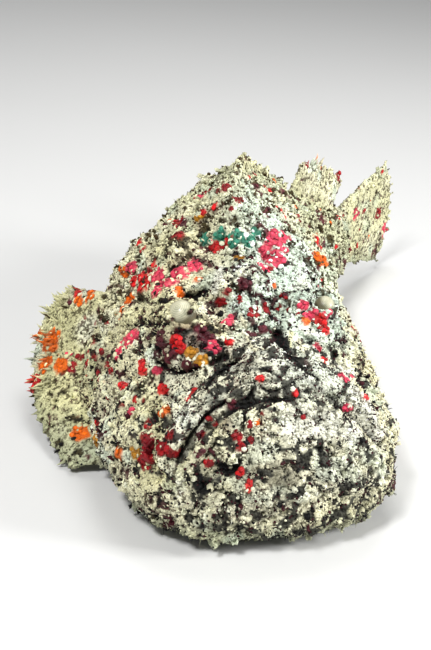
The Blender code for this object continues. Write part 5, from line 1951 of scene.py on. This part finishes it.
def growth_plans(leaves: list[Mark]) -> list[GrowthPlan]:
    """What grows where on the fish.

    Args:
        leaves: Where the large leaves of skin grow.

    Returns:
        The plans.
    """

    def near_eyes(skin: Skin, inner: float = 0.0006, outer: float = 0.0026) -> np.ndarray:
        """1 beside an eye, from the inner to the outer distance from its dome."""
        gaps = [eye.gap(skin.places) for eye in skin.eyes]
        return 1.0 - ramp(np.minimum(*gaps), inner, outer)

    def on_lip(skin: Skin) -> np.ndarray:
        """1 on the upper lip and in the mouth's slit."""
        distance = mouth_distance(skin.body)
        outer = distance / lip_depth(skin.body[:, 0])
        return ramp(distance, -0.0022, -0.0008) * (1.0 - ramp(outer, 1.0, 1.15))

    def open_skin(skin: Skin, kept_off: float) -> np.ndarray:
        """How free the skin is: less in folds, none beside an eye, and kept off the crusts."""
        slit = bell(mouth_distance(skin.body), 0.0011) * ramp(-skin.body[:, 0], -0.006, 0.006)
        free = (1.0 - near_eyes(skin)) * (1.0 - 0.9 * slit) * (1.0 - 0.58 * skin.bare)
        return free * (1.0 - kept_off * skin.spot)

    def flesh(skin: Skin) -> np.ndarray:
        """1 off the fins."""
        return 1.0 - skin.fin

    def back(skin: Skin) -> np.ndarray:
        """1 behind the head."""
        return ramp(skin.body[:, 1], *BACK)

    def head(skin: Skin) -> np.ndarray:
        """1 on the head, off its lips."""
        return flesh(skin) * (1.0 - back(skin)) * (1.0 - on_lip(skin))

    def rim(skin: Skin) -> np.ndarray:
        """1 on the outer edge of a fin, which faces away from the flesh."""
        facing = (skin.normals * skin.outward).sum(axis=-1)
        return skin.fin * ramp(skin.gaps, 0.010, 0.016) * ramp(facing, 0.45, 0.75)

    def far_from_eyes(skin: Skin) -> np.ndarray:
        """0 where a long growth would hang over an eye."""
        return 1.0 - near_eyes(skin, 0.0026, 0.0040)

    def leafy(skin: Skin) -> np.ndarray:
        """1 where the large leaves grow."""
        return np.clip(sum(bell(leaf.distance(skin.places), 1.0) for leaf in leaves), 0.0, 1.0)

    return [
        GrowthPlan(
            "head_chips", GrowthKind.CHIP, "skin",
            lambda s: 0.95e6 * head(s) * open_skin(s, 0.85),
            size=(0.0005, 0.0012), stretch=(0.45, 1.0), tilt=0.40, seed=101,
        ),
        GrowthPlan(
            "head_crumbs", GrowthKind.WART, "skin",
            lambda s: 0.36e6 * head(s) * open_skin(s, 0.9),
            size=(0.0010, 0.0019), stretch=(0.45, 0.85), tilt=0.30, seed=112,
            dark=0.10, sunk=0.25, flecks=0.6,
        ),
        GrowthPlan(
            "lip_chips", GrowthKind.CHIP, "lip",
            lambda s: 1.7e6 * on_lip(s) * open_skin(s, 0.85),
            size=(0.0004, 0.0010), stretch=(0.4, 1.0), tilt=0.35, seed=102, dark=0.22,
        ),
        GrowthPlan(
            "back_chips", GrowthKind.CHIP, "skin",
            lambda s: 0.62e6 * flesh(s) * back(s) * open_skin(s, 0.85),
            size=(0.0008, 0.0018), stretch=(0.5, 1.0), tilt=0.40, seed=103, dark=0.16,
        ),
        GrowthPlan(
            "back_crumbs", GrowthKind.WART, "skin",
            lambda s: 0.15e6 * flesh(s) * back(s) * open_skin(s, 0.9),
            size=(0.0013, 0.0024), stretch=(0.45, 0.85), tilt=0.30, seed=113,
            dark=0.10, sunk=0.25, flecks=0.7,
        ),
        GrowthPlan(
            "fin_chips", GrowthKind.CHIP, "fin",
            lambda s: 0.50e6 * s.fin * open_skin(s, 0.85),
            size=(0.0006, 0.0013), stretch=(0.4, 0.8), tilt=0.35, seed=104, dark=0.08,
        ),
        GrowthPlan(
            "spine_crumbs", GrowthKind.WART, "spine",
            lambda s: 0.42e6 * s.spiny * open_skin(s, 0.9),
            size=(0.0012, 0.0026), stretch=(0.40, 0.75), tilt=0.30, seed=115,
            dark=0.30, sunk=0.25, flecks=0.6,
        ),
        GrowthPlan(
            "fin_crumbs", GrowthKind.WART, "fin",
            lambda s: 0.16e6 * (s.fin - s.spiny) * open_skin(s, 0.9),
            size=(0.0011, 0.0022), stretch=(0.35, 0.6), tilt=0.25, seed=114,
            dark=0.04, sunk=0.25, flecks=0.6,
        ),
        GrowthPlan(
            "skin_warts", GrowthKind.WART, "skin",
            lambda s: 0.016e6 * flesh(s) * (1 - on_lip(s)) * open_skin(s, 1.0),
            size=(0.0024, 0.0036), stretch=(0.5, 0.8), tilt=0.20, seed=105,
            dark=0.08, sunk=0.28, flecks=0.9,
        ),
        GrowthPlan(
            "skin_filaments", GrowthKind.FILAMENT, "skin",
            lambda s: (0.07e6 * flesh(s) * (1 - 0.9 * on_lip(s)) * open_skin(s, 1.0)
                       * far_from_eyes(s)),
            size=(0.0011, 0.0022), stretch=(0.8, 1.3), tilt=0.70, seed=106, sunk=0.05, dark=0.12,
        ),
        GrowthPlan(
            "skin_flaps", GrowthKind.FLAP, "skin",
            lambda s: (0.022e6 * (1 - 0.7 * s.fin) * (1 - on_lip(s)) * open_skin(s, 1.0)
                       * far_from_eyes(s)),
            size=(0.0014, 0.0028), stretch=(0.7, 1.1), tilt=0.45, seed=108,
            lean=0.8, sunk=0.05, dark=0.12,
        ),
        GrowthPlan(
            "red_crusts", GrowthKind.CRUST, "skin",
            lambda s: 0.62e6 * ramp(s.spot, 0.4, 0.9) * (1 - near_eyes(s)),
            size=(0.0011, 0.0025), stretch=(0.30, 0.62), tilt=0.22, seed=109,
            sunk=0.02, dark=0.0, flecks=0.25,
        ),
        GrowthPlan(
            "fin_ray_tips", GrowthKind.SPIKE, "fin",
            lambda s: 0.12e6 * rim(s),
            size=(0.0022, 0.0042), stretch=(0.7, 1.1), tilt=0.18, seed=110,
            lean=2.0, sunk=0.14, dark=0.03, flecks=0.25,
        ),
        GrowthPlan(
            "cheek_leaves", GrowthKind.LEAF, "skin",
            lambda s: 0.10e6 * leafy(s),
            size=(0.0040, 0.0070), stretch=(0.6, 0.9), tilt=0.55, seed=111,
            sunk=0.04, dark=0.0, flecks=0.6,
        ),
    ]


def main() -> None:
    """Builds the visual model."""
    logging.basicConfig(level=logging.INFO, format="%(message)s")
    fish = FishFrame()
    camera = PhotoCamera()
    camera.place(fish)
    Studio().build(fish, camera)
    eyes = (
        EyeDome("right", outward=-0.55, size=1.10, shift=(0.0004, -0.0011, -0.0017)),
        EyeDome("left", outward=0.55, size=0.82, shift=(0.0004, 0.0006, -0.0014)),
    )
    skin = Skin(fish, eyes)
    obj = skin.build()
    skin.shape(Marker(obj, fish, camera).folds(FOLDS), np.array(camera.stand(fish)))
    marker = Marker(obj, fish, camera)
    middle = fish.to_world(np.array([FACE_MIDDLE]))[0]
    painter = Painter(marker.marks(SPOTS), marker.marks(TONES_AND_PAINTED_LIGHT), marker.folds(FOLDS), middle)
    leaves = marker.marks({Tint.DARK_RED: tuple((*pixel, LEAF_REACH) for pixel in LEAF_PIXELS)})
    skin.spot = painter.spot_share(skin.places)[0]
    skin.bare = np.maximum(painter.bare(skin), painter.gloom(skin))
    painted = painter.skin(skin)
    skin.raise_crusts()
    paint_points(obj.data, painted[:, :3], painted[:, 3])
    obj.data.materials.append(FleshFinish("warty_skin").material())
    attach(obj, "root")
    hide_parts(*FLESH, *FINS)
    LOG.info("skin: %d triangles", len(skin.triangles))
    coat = Coat(skin, painter)
    total = 0
    for plan in growth_plans(leaves):
        for piece in coat.grow(plan):
            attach(piece, "root")
            total += len(piece.data.polygons)
            LOG.info("%s: %d triangles", piece.name, len(piece.data.polygons))
    LOG.info("coat: %d triangles", total)
    finish = EyeFinish().material()
    for eye in eyes:
        eye.build(finish)


if __name__ == "__main__":
    main()
